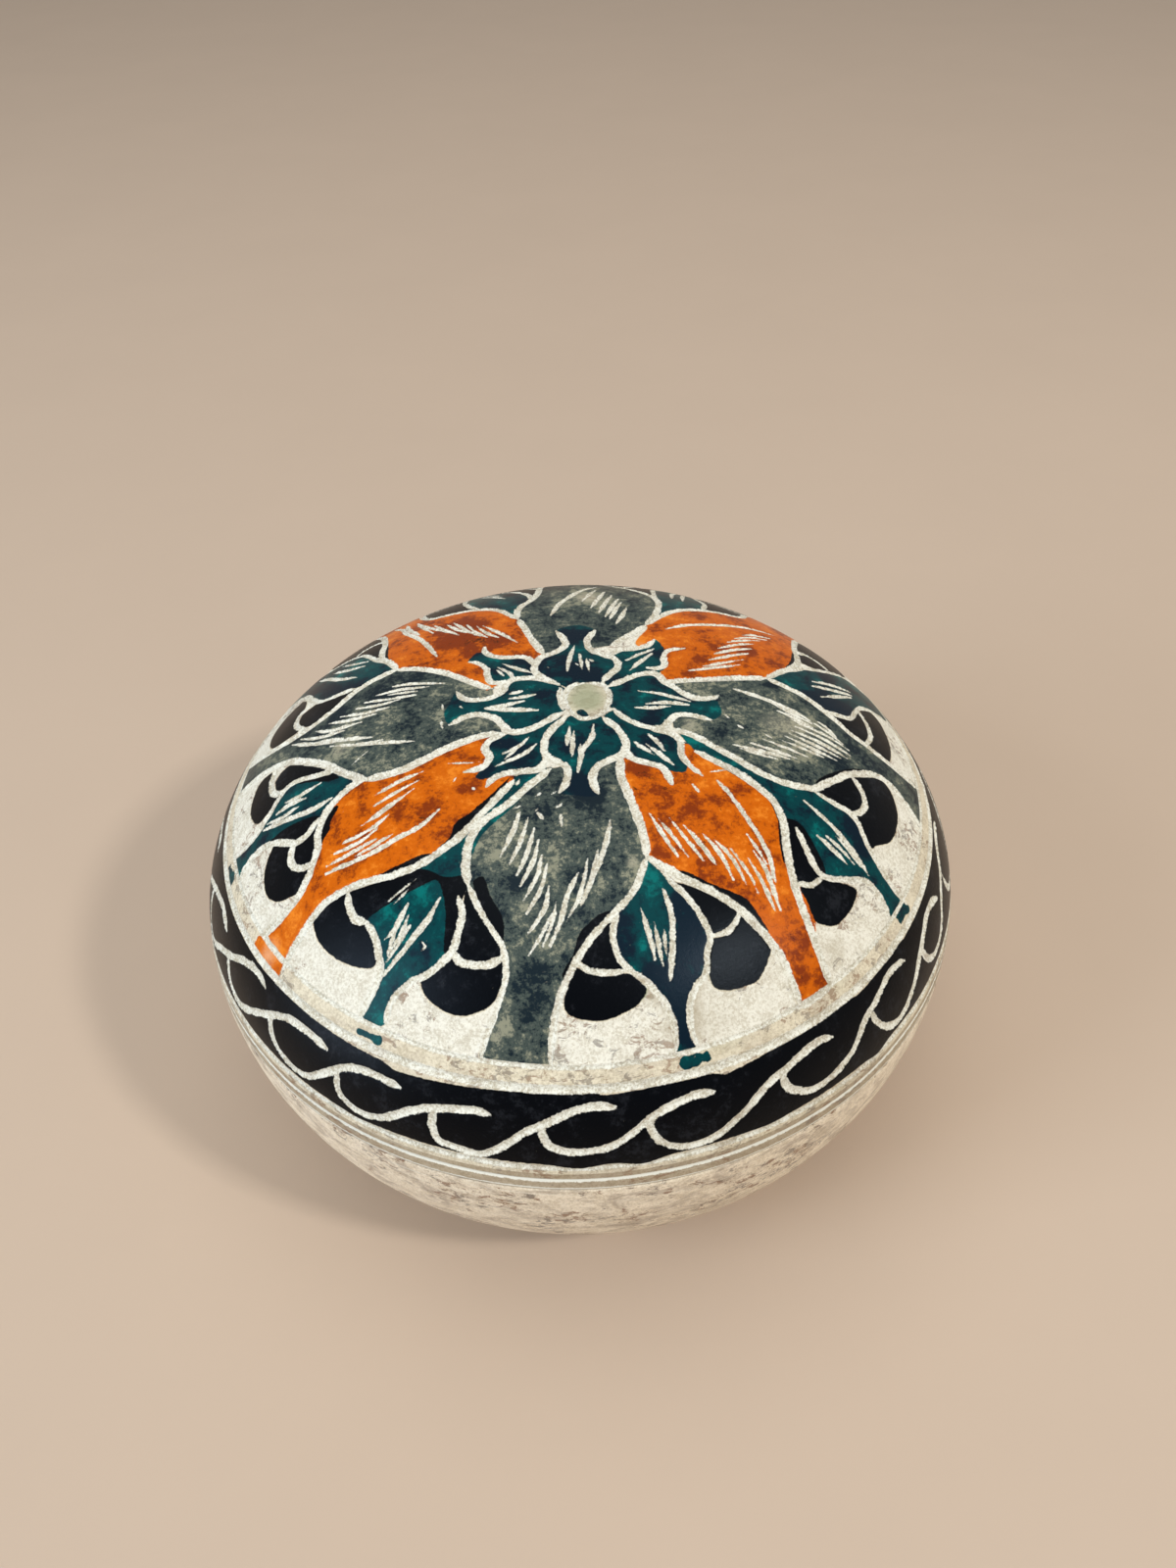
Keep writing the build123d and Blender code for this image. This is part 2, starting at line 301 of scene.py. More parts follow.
    "arc_wnw_a": (0.55, (-44.6, 11.4), (-45.3, 9.4), (-45.1, 7.2), (-43.6, 5.2), (-42.2, 4.2)),
    "arc_wnw_b": (0.5, (-31.6, 26.2), (-34.2, 26.8), (-36.4, 25.8), (-37.2, 23.8)),
    "arc_nnw_a": (0.5, (-27, 37.8), (-24, 38), (-21, 39.4), (-19.3, 41)),
    "arc_nnw_b": (0.5, (-5.6, 40), (-8, 42.6), (-11, 43.8), (-14, 43.4)),
    "arc_nne_a": (0.5, (9.4, 40), (11.2, 42.4), (14, 43), (16.4, 43)),
    "arc_nne_b": (0.5, (31, 34.2), (28.8, 35.8), (25.8, 37.4), (22.6, 38)),
}

# Hatching: (half width, points), with each stroke tapered to both ends
HATCHES = (
    (0.40, (0.5, 15), (-0.3, 11.5), (-0.7, 8)), (0.32, (1.3, 12.5), (1.6, 8.2)),
    (0.32, (2.3, 11.3), (2.7, 7.6)), (0.26, (2.7, 11), (3.4, 10.4)),
    (0.36, (10, 2.5), (13.5, 1.8), (17.5, 0.2)), (0.42, (11, -0.6), (14, -0.2), (17.3, -0.6)),
    (0.40, (9.3, -1.5), (12, -1.5), (14.5, -1.1)), (0.40, (-0.5, -5.5), (-0.9, -9.5)),
    (0.40, (0.1, -6.5), (-0.1, -9), (-0.2, -12)), (0.46, (3, -5.3), (2.6, -8), (1.2, -11), (0.5, -15)),
    (0.36, (1, -9.3), (0.8, -12)), (0.48, (-13, -0.2), (-10, 0.2), (-7.2, 0.9)),
    (0.56, (-12.8, -0.3), (-9, -1), (-5.2, -1.5)), (0.40, (-9.6, 1.6), (-7.5, 1.9), (-5.5, 2.4)),
    (0.40, (-9.4, 2.8), (-7.6, 3.3)), (0.38, (-10.8, 11), (-8.6, 9.4), (-6.2, 8)),
    (0.40, (-11.5, 10.2), (-9.7, 8.3), (-8.9, 6.6)), (0.32, (-11.6, 9.4), (-10.4, 7.6)),
    (0.36, (8.5, 10.6), (10.5, 12.2), (13, 13.9)), (0.40, (8.9, 7.8), (10.5, 10), (12.6, 12.6)),
    (0.38, (8.6, -9), (10.2, -10.6), (11.4, -11.8)), (0.40, (10.4, -9.6), (12.2, -11.6), (14.1, -13.8)),
    (0.32, (10.8, -7.4), (12, -9), (13, -11)), (0.32, (-6.5, -7.5), (-8, -9.4), (-10.2, -10.6)),
    (0.36, (-5.3, -9), (-7.2, -10.9), (-11.2, -13)), (0.26, (-8, -9.6), (-9.8, -11.6)),
    # orange petal, front left
    (0.34, (-21.5, -12.6), (-25, -14.1), (-28.4, -16)), (0.3, (-22, -14.3), (-25, -16), (-28.4, -17.9)),
    (0.32, (-22.6, -15.8), (-25, -17.7), (-29, -20.1)), (0.3, (-24.6, -17.6), (-27, -19.3), (-30, -20.8)),
    (0.32, (-25.9, -19.8), (-27.8, -21.3), (-30.1, -22.3), (-32.8, -22.9)),
    (0.3, (-27.6, -21.9), (-30.4, -23.5), (-34.1, -24.2)),
    (0.32, (-27.7, -23.6), (-31.6, -24.9), (-35.4, -25.8)),
    (0.26, (-25.2, -23.3), (-28, -24.6), (-31, -25.6)),
    (0.38, (-18.7, -20.2), (-21.3, -22.7), (-25, -24.4), (-29, -25.9), (-35.5, -26.9)),
    # grey petal, front
    (0.36, (-7.6, -22), (-8.6, -25.6), (-10.2, -29.3)), (0.34, (-6.4, -23), (-7.5, -27.2), (-8.9, -30.5)),
    (0.34, (-5.6, -24.9), (-6.5, -28.9), (-7.9, -32.2)), (0.34, (-5, -26.9), (-5.8, -30.5), (-7.5, -33.9)),
    (0.32, (-4.6, -29.4), (-5.3, -32.7), (-7.1, -36)), (0.32, (-3.9, -30.8), (-4.7, -34.2), (-6.7, -37.8)),
    (0.32, (-3.7, -34.1), (-4.4, -37.4), (-6.6, -40.5)),
    (0.28, (-2.8, -36.3), (-3.4, -39.2), (-4.7, -42.2)), (0.28, (-3.4, -38), (-4.9, -40.8), (-6.6, -43.3)),
    (0.4, (0.2, -32.4), (-1.3, -35.5), (-2.3, -39.1), (-3.8, -42.3)),
    (0.32, (1.5, -30.3), (0.4, -35.4), (-1.5, -39.1)), (0.42, (2.9, -28.9), (2.2, -32.6), (0.4, -37)),
    (0.38, (4.7, -23.9), (4, -27.7), (3, -30.8), (1.5, -34.4)),
    # orange petal, front right
    (0.34, (10.1, -22.9), (11.8, -26.8), (13.5, -30)), (0.3, (11.2, -23.8), (12.8, -26.4), (14.9, -30)),
    (0.3, (12.7, -23.6), (14.7, -27), (16.9, -30.4)), (0.34, (14.6, -24.9), (16.7, -27.8), (18.6, -30.9)),
    (0.32, (17.1, -26.2), (19.3, -29.2), (20.9, -32.9)), (0.28, (18.6, -27), (20.9, -29.7), (22.7, -33.4)),
    (0.28, (20.8, -28.3), (23, -31.5), (24.3, -34.4)), (0.32, (23.1, -29.4), (24.7, -32.2), (26.7, -36.5)),
    (0.3, (24, -28.3), (25.6, -30.9), (27.5, -36.4)), (0.22, (23.2, -25.7), (24.7, -28.1), (25.8, -30)),
    (0.22, (25.8, -28), (26.4, -30), (26.9, -32.4)),
    (0.38, (19.8, -16.4), (21.2, -18.6), (22.5, -21.1), (23.8, -23.6), (25, -25.8), (26.2, -28.6),
     (26.8, -31.4)),
    # grey petal, right
    (0.36, (23, -9.2), (26.9, -10.2), (31.2, -11.1)), (0.3, (23.8, -9.8), (26.4, -10.8), (29.2, -11.5)),
    (0.34, (25.5, -8.6), (29.1, -9.8), (32.5, -10.8)), (0.34, (27.7, -7.7), (31, -8.9), (34.4, -10.1)),
    (0.32, (30.1, -7.3), (33.6, -8.4), (36.8, -9.3)), (0.34, (30.7, -6.2), (34.7, -7.8), (39, -9.1)),
    (0.32, (31.8, -5.6), (35.6, -7), (39.8, -8.3)), (0.36, (32.2, -4.8), (36.5, -6.1), (41.1, -7.8)),
    (0.34, (33.1, -3.8), (37.6, -5.2), (41.9, -7)), (0.34, (33.9, -3), (38.6, -4.3), (41.8, -5.9)),
    (0.36, (36.3, -2), (38.6, -3.2), (41, -5)), (0.32, (37.2, -1.3), (38.8, -2.4), (40, -3.8)),
    (0.3, (32.7, -2.2), (34.6, -2.9), (36.8, -3.7)), (0.32, (30.7, -0.7), (33.6, -2), (36, -3.1)),
    (0.32, (30.1, 1), (32.8, -0.7), (36.2, -2.3)), (0.4, (24.6, 3.8), (28.7, 2), (32.8, 0.2), (35.9, -1.7)),
    # orange petal, back right
    (0.36, (18, 8), (22.2, 9.2), (26.4, 10.4)), (0.36, (20.4, 9.4), (23.6, 10.6), (27, 12)),
    (0.36, (21.4, 11.2), (25, 12.8), (28.2, 14.2)), (0.36, (22.4, 13), (26, 14.8), (29, 16)),
    (0.36, (23.4, 14.8), (27, 16.8), (29.8, 18)), (0.34, (25, 17), (28.4, 18.8), (31, 19.8)),
    (0.34, (26.6, 18.8), (29.6, 20.4), (32.4, 21)), (0.34, (28, 20.6), (30.6, 21.8), (33.4, 22.4)),
    (0.42, (15.4, 20.2), (19, 21.8), (24, 23), (29, 24.4), (34.4, 25)),
    # grey petal, back
    (0.38, (2, 30.4), (3.2, 33.6), (4.6, 37)), (0.4, (3.4, 27.5), (4.8, 31.6), (5.9, 35.5)),
    (0.4, (4.7, 25.8), (5.9, 29.6), (7, 33.2)), (0.4, (5.7, 24.2), (7, 28), (8.1, 31.4)),
    (0.4, (6.4, 23.3), (7.5, 26.8), (8.6, 29.9)), (0.4, (7.4, 21.9), (8.5, 24.7), (9.4, 27.8)),
    (0.5, (-3.3, 25.3), (-1.7, 29.8), (0.2, 33.3), (2.2, 36.8), (4.8, 39.9)),
    # orange petal, back left
    (0.4, (-28.9, 32.5), (-27.6, 28), (-25.3, 23.9)),
    (0.44, (-31.6, 33.6), (-29.2, 29.7), (-27.8, 26.1), (-24.4, 21.1), (-21.4, 15)),
    (0.38, (-26.7, 31.1), (-25, 27), (-22.8, 23.3)), (0.38, (-25.6, 28.9), (-23.4, 25.6), (-20.6, 22.8)),
    (0.38, (-23.3, 27.2), (-21, 23.8), (-18.3, 21.1)), (0.38, (-20.6, 25.6), (-18.6, 23), (-16.1, 21.1)),
    (0.38, (-19.4, 25.8), (-17.2, 22.6), (-14.7, 20)), (0.38, (-17.2, 24.4), (-15.6, 21.6), (-13.6, 19.4)),
    (0.38, (-15.6, 23.6), (-13.8, 20.9), (-11.7, 18.9)), (0.38, (-14.4, 23.3), (-11.4, 20.2), (-8.6, 16.9)),
    # grey petal, left
    (0.34, (-27.9, 8.2), (-25.1, 8.2), (-19.6, 7.2)), (0.36, (-30.5, 6.6), (-26.2, 7), (-22, 6.8)),
    (0.3, (-28.6, 6.1), (-26, 6.1), (-23.8, 6)), (0.36, (-32, 5.4), (-28.1, 5), (-24, 5.1)),
    (0.36, (-33.4, 4.3), (-29.9, 3.9), (-26.3, 4.5)), (0.38, (-36, 3.5), (-31.8, 2.6), (-28.1, 2.9)),
    (0.38, (-37.8, 2.8), (-34, 1.8), (-29.8, 1.8)), (0.38, (-40.2, 2.2), (-37, 0.7), (-32, 0.5)),
    (0.38, (-43, 2), (-39.2, 0.1), (-34.8, -0.4)),
    (0.42, (-44.7, 1.8), (-41.8, 0), (-38.1, -1.7), (-34, -2.8), (-29.8, -3.7)),
    (0.3, (-39.3, -0.8), (-35.8, -2), (-33, -2.8)),
    (0.38, (-36.7, -3.2), (-32.5, -4.5), (-28.1, -5.4), (-23.2, -6)),
    (0.3, (-34, -4.1), (-31, -4.8), (-28.2, -4.7)),
    # leaves
    (0.41, (-37.4, -10.5), (-41, -11.4), (-43.8, -11.4)),
    (0.47, (-39.8, -12.4), (-42.6, -12.2), (-45.4, -12.7)),
    (0.43, (-41, -13.4), (-44.4, -14), (-47.2, -13.6)), (0.49, (-35, -14.2), (-39.4, -15.2), (-48, -14.4)),
    (0.43, (-22.8, -34.3), (-24.8, -37.4), (-26.4, -38.6)),
    (0.37, (-22.8, -36), (-24, -38.4), (-25.8, -40.3)),
    (0.43, (-18.3, -34.3), (-20.4, -37.4), (-23.6, -40.4), (-26.9, -43.2)),
    (0.33, (-22.6, -37.4), (-24.6, -39.8), (-26.4, -41.6)), (0.33, (-24, -36), (-26.2, -40.8)),
    (0.34, (8.2, -37.4), (9.1, -40.5), (9.9, -44.2)), (0.3, (9.9, -39.4), (10.4, -42.2), (11, -45.2)),
    (0.46, (11.3, -34.8), (12.2, -38), (12.3, -42), (11.9, -46.8)), (0.24, (11.2, -40), (11.4, -43.6)),
    (0.41, (32.4, -18.6), (36.4, -21.8), (40, -25.2), (42.4, -27.9)),
    (0.41, (33.9, -24.1), (36.4, -25.8), (38.6, -27.4)), (0.37, (35.4, -23.8), (37.6, -25.2), (39.8, -27)),
    (0.37, (37, -23.4), (39, -25), (41, -27)), (0.43, (38.4, 10), (42, 11.4), (46.6, 13)),
    (0.41, (39.2, 6), (42.4, 8), (46, 10.6)), (0.39, (38, 8.4), (42.4, 9.8), (46.6, 11.8)),
    (0.49, (-34.8, 14.2), (-38, 16), (-41, 19), (-44.6, 23)),
    (0.43, (-34, 17.6), (-37.4, 18.8), (-41, 21.4)), (0.41, (-33.6, 19), (-36.4, 20.4), (-39.4, 22.6)),
    (0.43, (-12, 37), (-14.4, 40.4), (-17, 44)), (0.41, (-11.4, 35), (-14.6, 38.6), (-17, 41.4)),
    (0.43, (17.6, 34), (18.2, 39), (20, 44)), (0.41, (19.4, 33.4), (20, 38), (20.8, 42)),
    # stray nicks of the knife
    (0.18, (28, -6.4), (29.2, -7.4)), (0.2, (-19.7, 2), (-19.4, 0.4)), (0.2, (-19.6, -2), (-19.2, -4)),
    (0.16, (-32.6, -8.8), (-30.2, -6.6)), (0.24, (-5.6, -19.4), (-4.6, -18.6)),
    (0.2, (-3.2, -19), (-2.4, -18.3)), (0.22, (-5.5, -21.9), (-4.9, -21.3)),
    (0.34, (-5.1, -22.2), (-4.4, -23.4)), (0.2, (-2.6, -21.6), (-1.8, -20.8)),
    (0.22, (-2, -22.8), (-1.9, -24.9)), (0.2, (-8.4, -21.2), (-7.4, -20.8)),
    (0.24, (-8.1, -17), (-7.7, -15.8)), (0.2, (-17.1, -15.4), (-16.6, -14.4)),
    (0.22, (-14.3, -16.8), (-13.9, -17.2)), (0.16, (-18, -11.6), (-13.4, -11.9)),
    (0.16, (-25.6, -33.4), (-21.6, -31)), (0.16, (-24.8, -34), (-22.6, -32.2)),
    (0.18, (-21, -39.8), (-20.6, -40.6), (-21.2, -41)), (0.2, (0.6, 10), (1, 9.4)),
    (0.2, (-3.8, 9.4), (-3.5, 9)), (0.2, (16.4, -17.4), (17.2, -19)), (0.16, (19, -15), (21.6, -14.4)),
    (0.18, (22.4, -2.6), (23, -3.4)), (0.18, (24.2, -5), (25, -5.6)), (0.18, (-17, 1), (-16.4, 0.2)),
)

# Painted areas. Each is closed, and made of points and names of carved lines, with "-" for one read backwards
GREY = (
    ("wsw_stem", "w_foot_low", "-w_foot_up", "-wnw_stem"),
    ("s_foot_left", "s_foot_thin", (-9.4, -56.8), "-s_foot_right", "-sse_stem"),
    ("e_foot_low", "-e_foot_up", "-ene_stem"),
    ("nnw_stem", "n_foot_left", (0.6, 57.4), "-n_foot_right", "-nne_stem"),
)
ORANGE = (
    ("wsw_stem", "sw_foot_up", "-sw_foot_low"),
    ("sse_stem", "se_foot_left", "-se_foot_right", (15.4, -9.4)),
    ("ene_stem", "ne_foot_right", "-ne_foot_left", (12.4, 20.2), (10.2, 15.6), (12, 13)),
    ("nnw_stem", "nw_foot_right", "-nw_foot_left", "-wnw_stem"),
    ((29.8, -32.4), (31, -33.6), (32.4, -36.4), (32.9, -38.6), (31.2, -37), (30, -34.4)),
)
LEAVES = (
    ((-4.5, -13.8), (-7.6, -14.8), (-11, -18.7), (-14, -23), (-19.3, -28), (-22.5, -29.6), (-29, -35.6),
     "ssw_leaf_left", (-29.8, -49.2), "-ssw_leaf_right", "-s_foot_left"),
    ((-30, -12.6), (-33.6, -10.2), "wsw_leaf_up", (-55.6, -18), "-wsw_leaf_low", (-34.6, -15.4)),
    ((-28.2, 13.2), (-32, 11), "wnw_leaf_low", (-52.4, 25.4), "-wnw_leaf_up", (-30.4, 16.2)),
    ((-9, 25), (-11.7, 28.6), (-14, 30.1), "nnw_leaf_left", (-21, 54), "-nnw_leaf_right", (-8, 30.2),
     (-8.8, 27.6)),
    ((12.4, 21.8), (16.3, 26.2), (18.8, 27.9), "nne_leaf_right", (21.4, 53.6), "-nne_leaf_left", (15, 29.8),
     (13.6, 24.2)),
    ((30.6, 7.9), "ene_leaf_up", (54.8, 16), "-ene_leaf_low", (36, 4.2), (32.4, 6.6)),
    ((15.2, -7.2), (18, -8.2), (23, -12), (28.4, -15.6), "ese_leaf_up", (49.4, -31.8), "-ese_leaf_low",
     (28.7, -21.8), (25.5, -17.2), (20.1, -12.8), (17.4, -10.9)),
    ((9.4, -30.4), "sse_leaf_right", (14.3, -56), "-sse_leaf_left", (7.8, -34.6), (8.9, -32.4)),
)
SMALL_FLOWER = (
    ("n_left", (-0.6, 21.1), (1.6, 21.4), "-n_right", (1.8, 2)),
    ("e_up", (21.8, 0.4), (22, -2.4), "-e_low", (2.4, 0.6)),
    ("s_left", (0.4, -19.5), (2.2, -19.7), "-s_right", (1.8, -2)),
    ("w_up", (-18.6, 1.4), (-19.2, -0.6), "-w_low", (0.6, 0.8)),
    ("nw_left", (-15.9, 13.4), (-15, 14.8), (-13.8, 14.6), (-12.5, 13.8), (-10.5, 12.8), (-8, 12.7),
     (-6.6, 12), (-5.6, 9.6), (-4.6, 6.6), (-2.4, 5)),
    ((4.8, 4.8), (6.9, 8.2), (6.9, 11), "ne_top", (14.2, 15.4), (14.8, 13), (14.3, 11), (14.6, 9.4),
     (13.9, 7.8), (12, 7.1), (8, 5.3), (5.5, 3.7)),
    ((6.2, -1.9), (9, -5), (11, -6), (13.6, -6.9), (15.2, -8.8), (15.3, -11.5), (16, -13.4), (15.6, -15),
     (14.2, -15.2), (12.6, -14.5), (10.5, -13.4), (8.4, -12.2), (7.3, -8.2), (4.5, -3.9)),
    ((-1.4, -3), (-4, -4.4), (-9.4, -6.3), (-12, -7.6), (-12.7, -9.3), (-12, -11.2), (-12.8, -13),
     (-13.9, -14.8), (-12.6, -15.3), (-9.5, -14.4), (-5, -14), (-4.2, -10), (-2.8, -5.5)),
    # sliver beside the front petal's edge
    ((-6.4, -17), (-8.4, -19.6), (-12.2, -22.7), (-14.1, -25.6), (-14.6, -28.4), (-13.8, -28.2),
     (-12.9, -25.9), (-11, -23.5), (-8.4, -20.8), (-7, -18.6)),
)
BLACK = (
    # drops, each pair beside one leaf: the inner one, then the outer one
    ((-31.6, -30.7), (-25.3, -30.2), (-21, -29.6), (-17.6, -31.4), (-14.9, -31.6), (-14.6, -33.4),
     (-15.6, -36), (-16, -39.7), (-17, -41.8), (-18, -41.6), (-17.6, -36.6), (-18.5, -32), (-21, -32.2),
     (-27.7, -34.7), (-29.5, -35.6), (-30.8, -34.8), (-31.6, -33)),
    ((-15, -34.4), (-14.2, -33.6), (-11.6, -39), (-10, -42), (-9.9, -43.2), (-12, -44), (-14.2, -43.8),
     (-15.9, -43), (-16.6, -41.4), (-15.7, -39.5), (-15.3, -37)),
    ((-13.8, -32.4), (-12.4, -32), (-11.4, -35), (-9.9, -38), (-9.8, -40.6), (-10.3, -41.6), (-12, -38.4),
     (-13.4, -35.6)),
    ((-21.7, -44.6), (-18.9, -43.3), (-16.6, -41.9), (-15.6, -43.3), (-12, -44.1), (-10.2, -43.6),
     (-10.1, -46), (-11.7, -48.9), (-14.1, -49.9), (-16.6, -50), (-19.1, -48.8), (-21, -46.9)),
    ((-37.8, -32.8), (-35.5, -31.3), (-32, -30.8), (-31.7, -33.2), (-30.6, -35), (-28.4, -37), (-27.6, -40),
     (-28.4, -41.9), (-31.4, -41.2), (-34.6, -39.2), (-36.9, -36.6), (-37.7, -34.4)),
    ((-46.5, -17.2), (-43, -16.4), (-38.6, -16.4), (-36.9, -17.2), (-38.9, -19.3), (-41.2, -19.8),
     (-43.3, -18.8)),
    ((-34.2, -10.8), (-36, -9), (-40, -8.6), (-41.6, -8.8), (-39, -9.6), (-36.6, -10.6)),
    ((-40.9, -20), (-39, -19.4), (-37.2, -18.2), (-36.9, -22.6), (-37.5, -24.6), (-39.9, -24.4),
     (-41.3, -23.5), (-41.8, -21.8)),
    ((-45.4, -18.2), (-43.3, -19), (-41.7, -20), (-42, -21.8), (-41.4, -23.6), (-39.9, -24.5), (-37.6, -25),
     (-39.9, -27.9), (-42, -28.3), (-44.6, -28), (-46.6, -26.4), (-47.4, -23.9), (-47, -21.2)),
    ((-46.8, -5.5), (-45.6, -3.9), (-42.8, -3.4), (-40, -5), (-36, -8.4), (-38.7, -8.5), (-42, -7.9),
     (-44.6, -8.2), (-46.2, -7.6)),
    ((-48, -2.4), (-50.6, -2.8), (-51.9, -5.4), (-52, -8.8), (-50.6, -11.5), (-49.2, -12.3), (-47.4, -11.4),
     (-45.4, -9.4), (-46.9, -7.8), (-47.7, -5)),
    ((-44.4, 9.8), (-44.6, 7.6), (-43.2, 5.4), (-41.6, 4.6), (-39.5, 5.4), (-36.4, 7.8), (-34.2, 9.6),
     (-36.4, 10.4), (-41, 11)),
    ((-46.4, 16.2), (-49.8, 13.8), (-51.4, 10.6), (-51.2, 7.2), (-49.6, 4.8), (-46.2, 4.4), (-44, 5),
     (-45.2, 7.2), (-45.2, 9.6), (-44.4, 11.6), (-44.8, 14.6)),
    ((-33.4, 20.6), (-31.6, 19.2), (-31.5, 23.9), (-32, 26), (-34.4, 26.6), (-36.4, 25.6), (-37, 23.9),
     (-35.3, 22.8)),
    ((-37.2, 24.4), (-36.4, 26), (-34.2, 27), (-32.2, 26.8), (-35.2, 32.8), (-38, 33.6), (-41.4, 32.4),
     (-43.4, 29.6), (-43, 26.6), (-41.2, 25)),
    ((-26.4, 37.2), (-25.4, 33.2), (-23.4, 31.2), (-19.4, 31), (-16.4, 31.4), (-18.6, 36), (-19.2, 40.2),
     (-21, 38.8), (-24, 37.6)),
    ((-27, 38.4), (-24, 38.4), (-21, 39.8), (-19.6, 41.6), (-21, 44.2), (-23, 46.4), (-26, 46.6),
     (-28.6, 44.4)),
    ((-5.8, 39.4), (-6, 35.6), (-6.8, 33), (-7.6, 36), (-10.6, 40.4), (-13.4, 43), (-11, 43.4), (-8, 42.2)),
    ((-5.4, 40.8), (-8, 43), (-11, 44.2), (-14.4, 43.8), (-16.4, 46.4), (-15.4, 49.2), (-12, 50.8),
     (-7.4, 50.6), (-5.2, 48.8), (-5, 45)),
    ((14.4, 33.4), (14.5, 37), (14.9, 41), (16, 43), (13.8, 42.8), (11.4, 42.2), (9.8, 39.8), (12.6, 36.6)),
    ((9.2, 40.4), (11, 42.8), (14, 43.4), (16.6, 43.6), (18.2, 46.6), (17, 49.8), (13.6, 51.4), (9.4, 50.6),
     (6, 48.2), (6.4, 43.8)),
    ((23, 30), (28, 30.4), (29.8, 31.6), (30.8, 34), (28.6, 35.6), (25.8, 37.2), (22.9, 37.8), (23.5, 34)),
    ((31.2, 34.6), (29, 36.2), (26, 37.8), (22.8, 38.4), (22.9, 42), (24.2, 44.6), (27.6, 45.4),
     (31.4, 43.8), (32.8, 39.4)),
    ((39.6, 2), (43.9, 2.9), (46.4, 6.6), (47.3, 4), (47.4, 1.2), (46.7, -0.8), (45.2, -2.3), (43, -1.3),
     (40.6, 0.7)),
    ((46.8, 7.2), (49.4, 9.6), (51.4, 8.4), (52, 5.4), (52, 2), (51.4, -1.2), (50.2, -3.6), (48.2, -3.5),
     (45.9, -2.6), (47.8, 1.2), (47.7, 4)),
    ((37.6, 15.6), (40, 15.4), (43, 17.2), (42, 19.2), (39.6, 20.3), (37.6, 19), (37.3, 17.4)),
    ((38, 21), (39.6, 20.9), (42.4, 19.8), (43.6, 17.6), (47, 19.6), (48.4, 22), (47.6, 25.6), (44.8, 28.4),
     (41.4, 29), (39.2, 26.4)),
    ((29.1, -22.2), (31.2, -22.6), (33.2, -25.6), (34.8, -29.8), (32.6, -31.6), (30, -32), (29.1, -28)),
    ((33.2, -31.2), (34.4, -30.6), (39.6, -30.6), (39.9, -32), (38.7, -34.4), (36.4, -36.8), (34.2, -37.2),
     (32.8, -36.9), (31.6, -34.4), (30.6, -32.6)),
    ((34.9, -16.4), (36.4, -14.9), (40.8, -11.6), (42.4, -13.4), (42.8, -15.9), (41.8, -17.6), (40.1, -18.4),
     (37.5, -17.6)),
    ((41.6, -11.2), (45.9, -9.5), (47.9, -9.6), (49.3, -11.4), (49.8, -14.6), (49, -17.8), (47.3, -20.8),
     (44.6, -22.4), (42.9, -23.2), (40.8, -19.2), (42.1, -17.9), (43.2, -15.9), (42.8, -13.4)),
    ((-0.2, -44.2), (1.5, -42), (4.9, -38.4), (4.6, -40.1), (4.6, -42.2), (6, -45.4), (3.8, -45.8),
     (1.4, -45.4)),
    ((-0.6, -45), (1.3, -46), (3.8, -46.3), (6.3, -46), (8.6, -47.6), (8, -49.4), (6, -50.8), (2.6, -51.9),
     (-0.8, -51.4), (-2.2, -50.2), (-1.8, -47.6)),
    ((12.4, -33.6), (14.8, -34.2), (18, -35.4), (21.2, -36.8), (20.7, -38.6), (19.4, -39.9), (17.4, -40.6),
     (16.8, -39.2), (15.5, -37)),
    ((17.6, -41.2), (19.6, -40.5), (21, -38.9), (21.9, -37.2), (25.4, -40.3), (26, -42), (24.4, -45.8),
     (22.4, -46.9), (20, -47.7), (17.9, -47.4), (17.1, -45.6), (17.1, -43)),
    # black left beside a petal's edge
    ((4.8, -37.6), (3, -38.2), (1.6, -39.2), (0, -41), (-0.8, -43.4), (-2.4, -46), (-1.6, -46.4),
     (-0.4, -44.4), (3.2, -39.7)),
    ((12, -32), (14.5, -32.2), (18, -33.8), (20.6, -34.6), (22.6, -35.4), (24.4, -37.6), (25.6, -39.6),
     (20.9, -36.5), (14.7, -33.4)),
    ((-33.8, -16.2), (-34.6, -16), (-36.2, -18), (-36.9, -20.6), (-36.8, -23), (-36, -21.2), (-35.1, -20),
     (-35, -18.6)),
    ((-9, -15.4), (-9.8, -16.2), (-11.6, -18.4), (-13.4, -20.3), (-14.4, -21.4), (-15.8, -22.4),
     (-16.6, -23.4), (-17.1, -25.3), (-19.3, -27.6), (-16.3, -25.8), (-12.8, -21.7), (-10.2, -18.2)),
    ((-27.4, -29.4), (-24, -28.4), (-20.4, -27.4), (-19.6, -28), (-22.2, -29.3), (-25.3, -29.8)),
    ((26.4, -17.8), (28, -20.4), (28.5, -22), (28.9, -27.6), (28.3, -29.4), (27.9, -26), (28, -23),
     (27.4, -20.6)),
    ((20, -12.6), (23, -14.8), (25.6, -17.2), (24.6, -17), (22, -15), (20.6, -13.8)),
    ((33.4, 10.8), (35.2, 12.6), (36.6, 15), (37.2, 20), (36.2, 17.6), (35.4, 14.8)),
    ((-29.2, 15.8), (-30.8, 18.2), (-31.2, 25), (-30.4, 22), (-30, 18.6)),
    ((36.4, 3.6), (38.6, 1.7), (40.4, 0.7), (39.6, 2), (38, 3.4)),
    ((34.4, -15), (36.2, -13.1), (38.6, -11.4), (41.4, -9.8), (44, -8.8), (46.4, -8.4), (43.6, -9.8),
     (41, -10.9), (38.4, -12.9), (36.3, -14.4)),
)

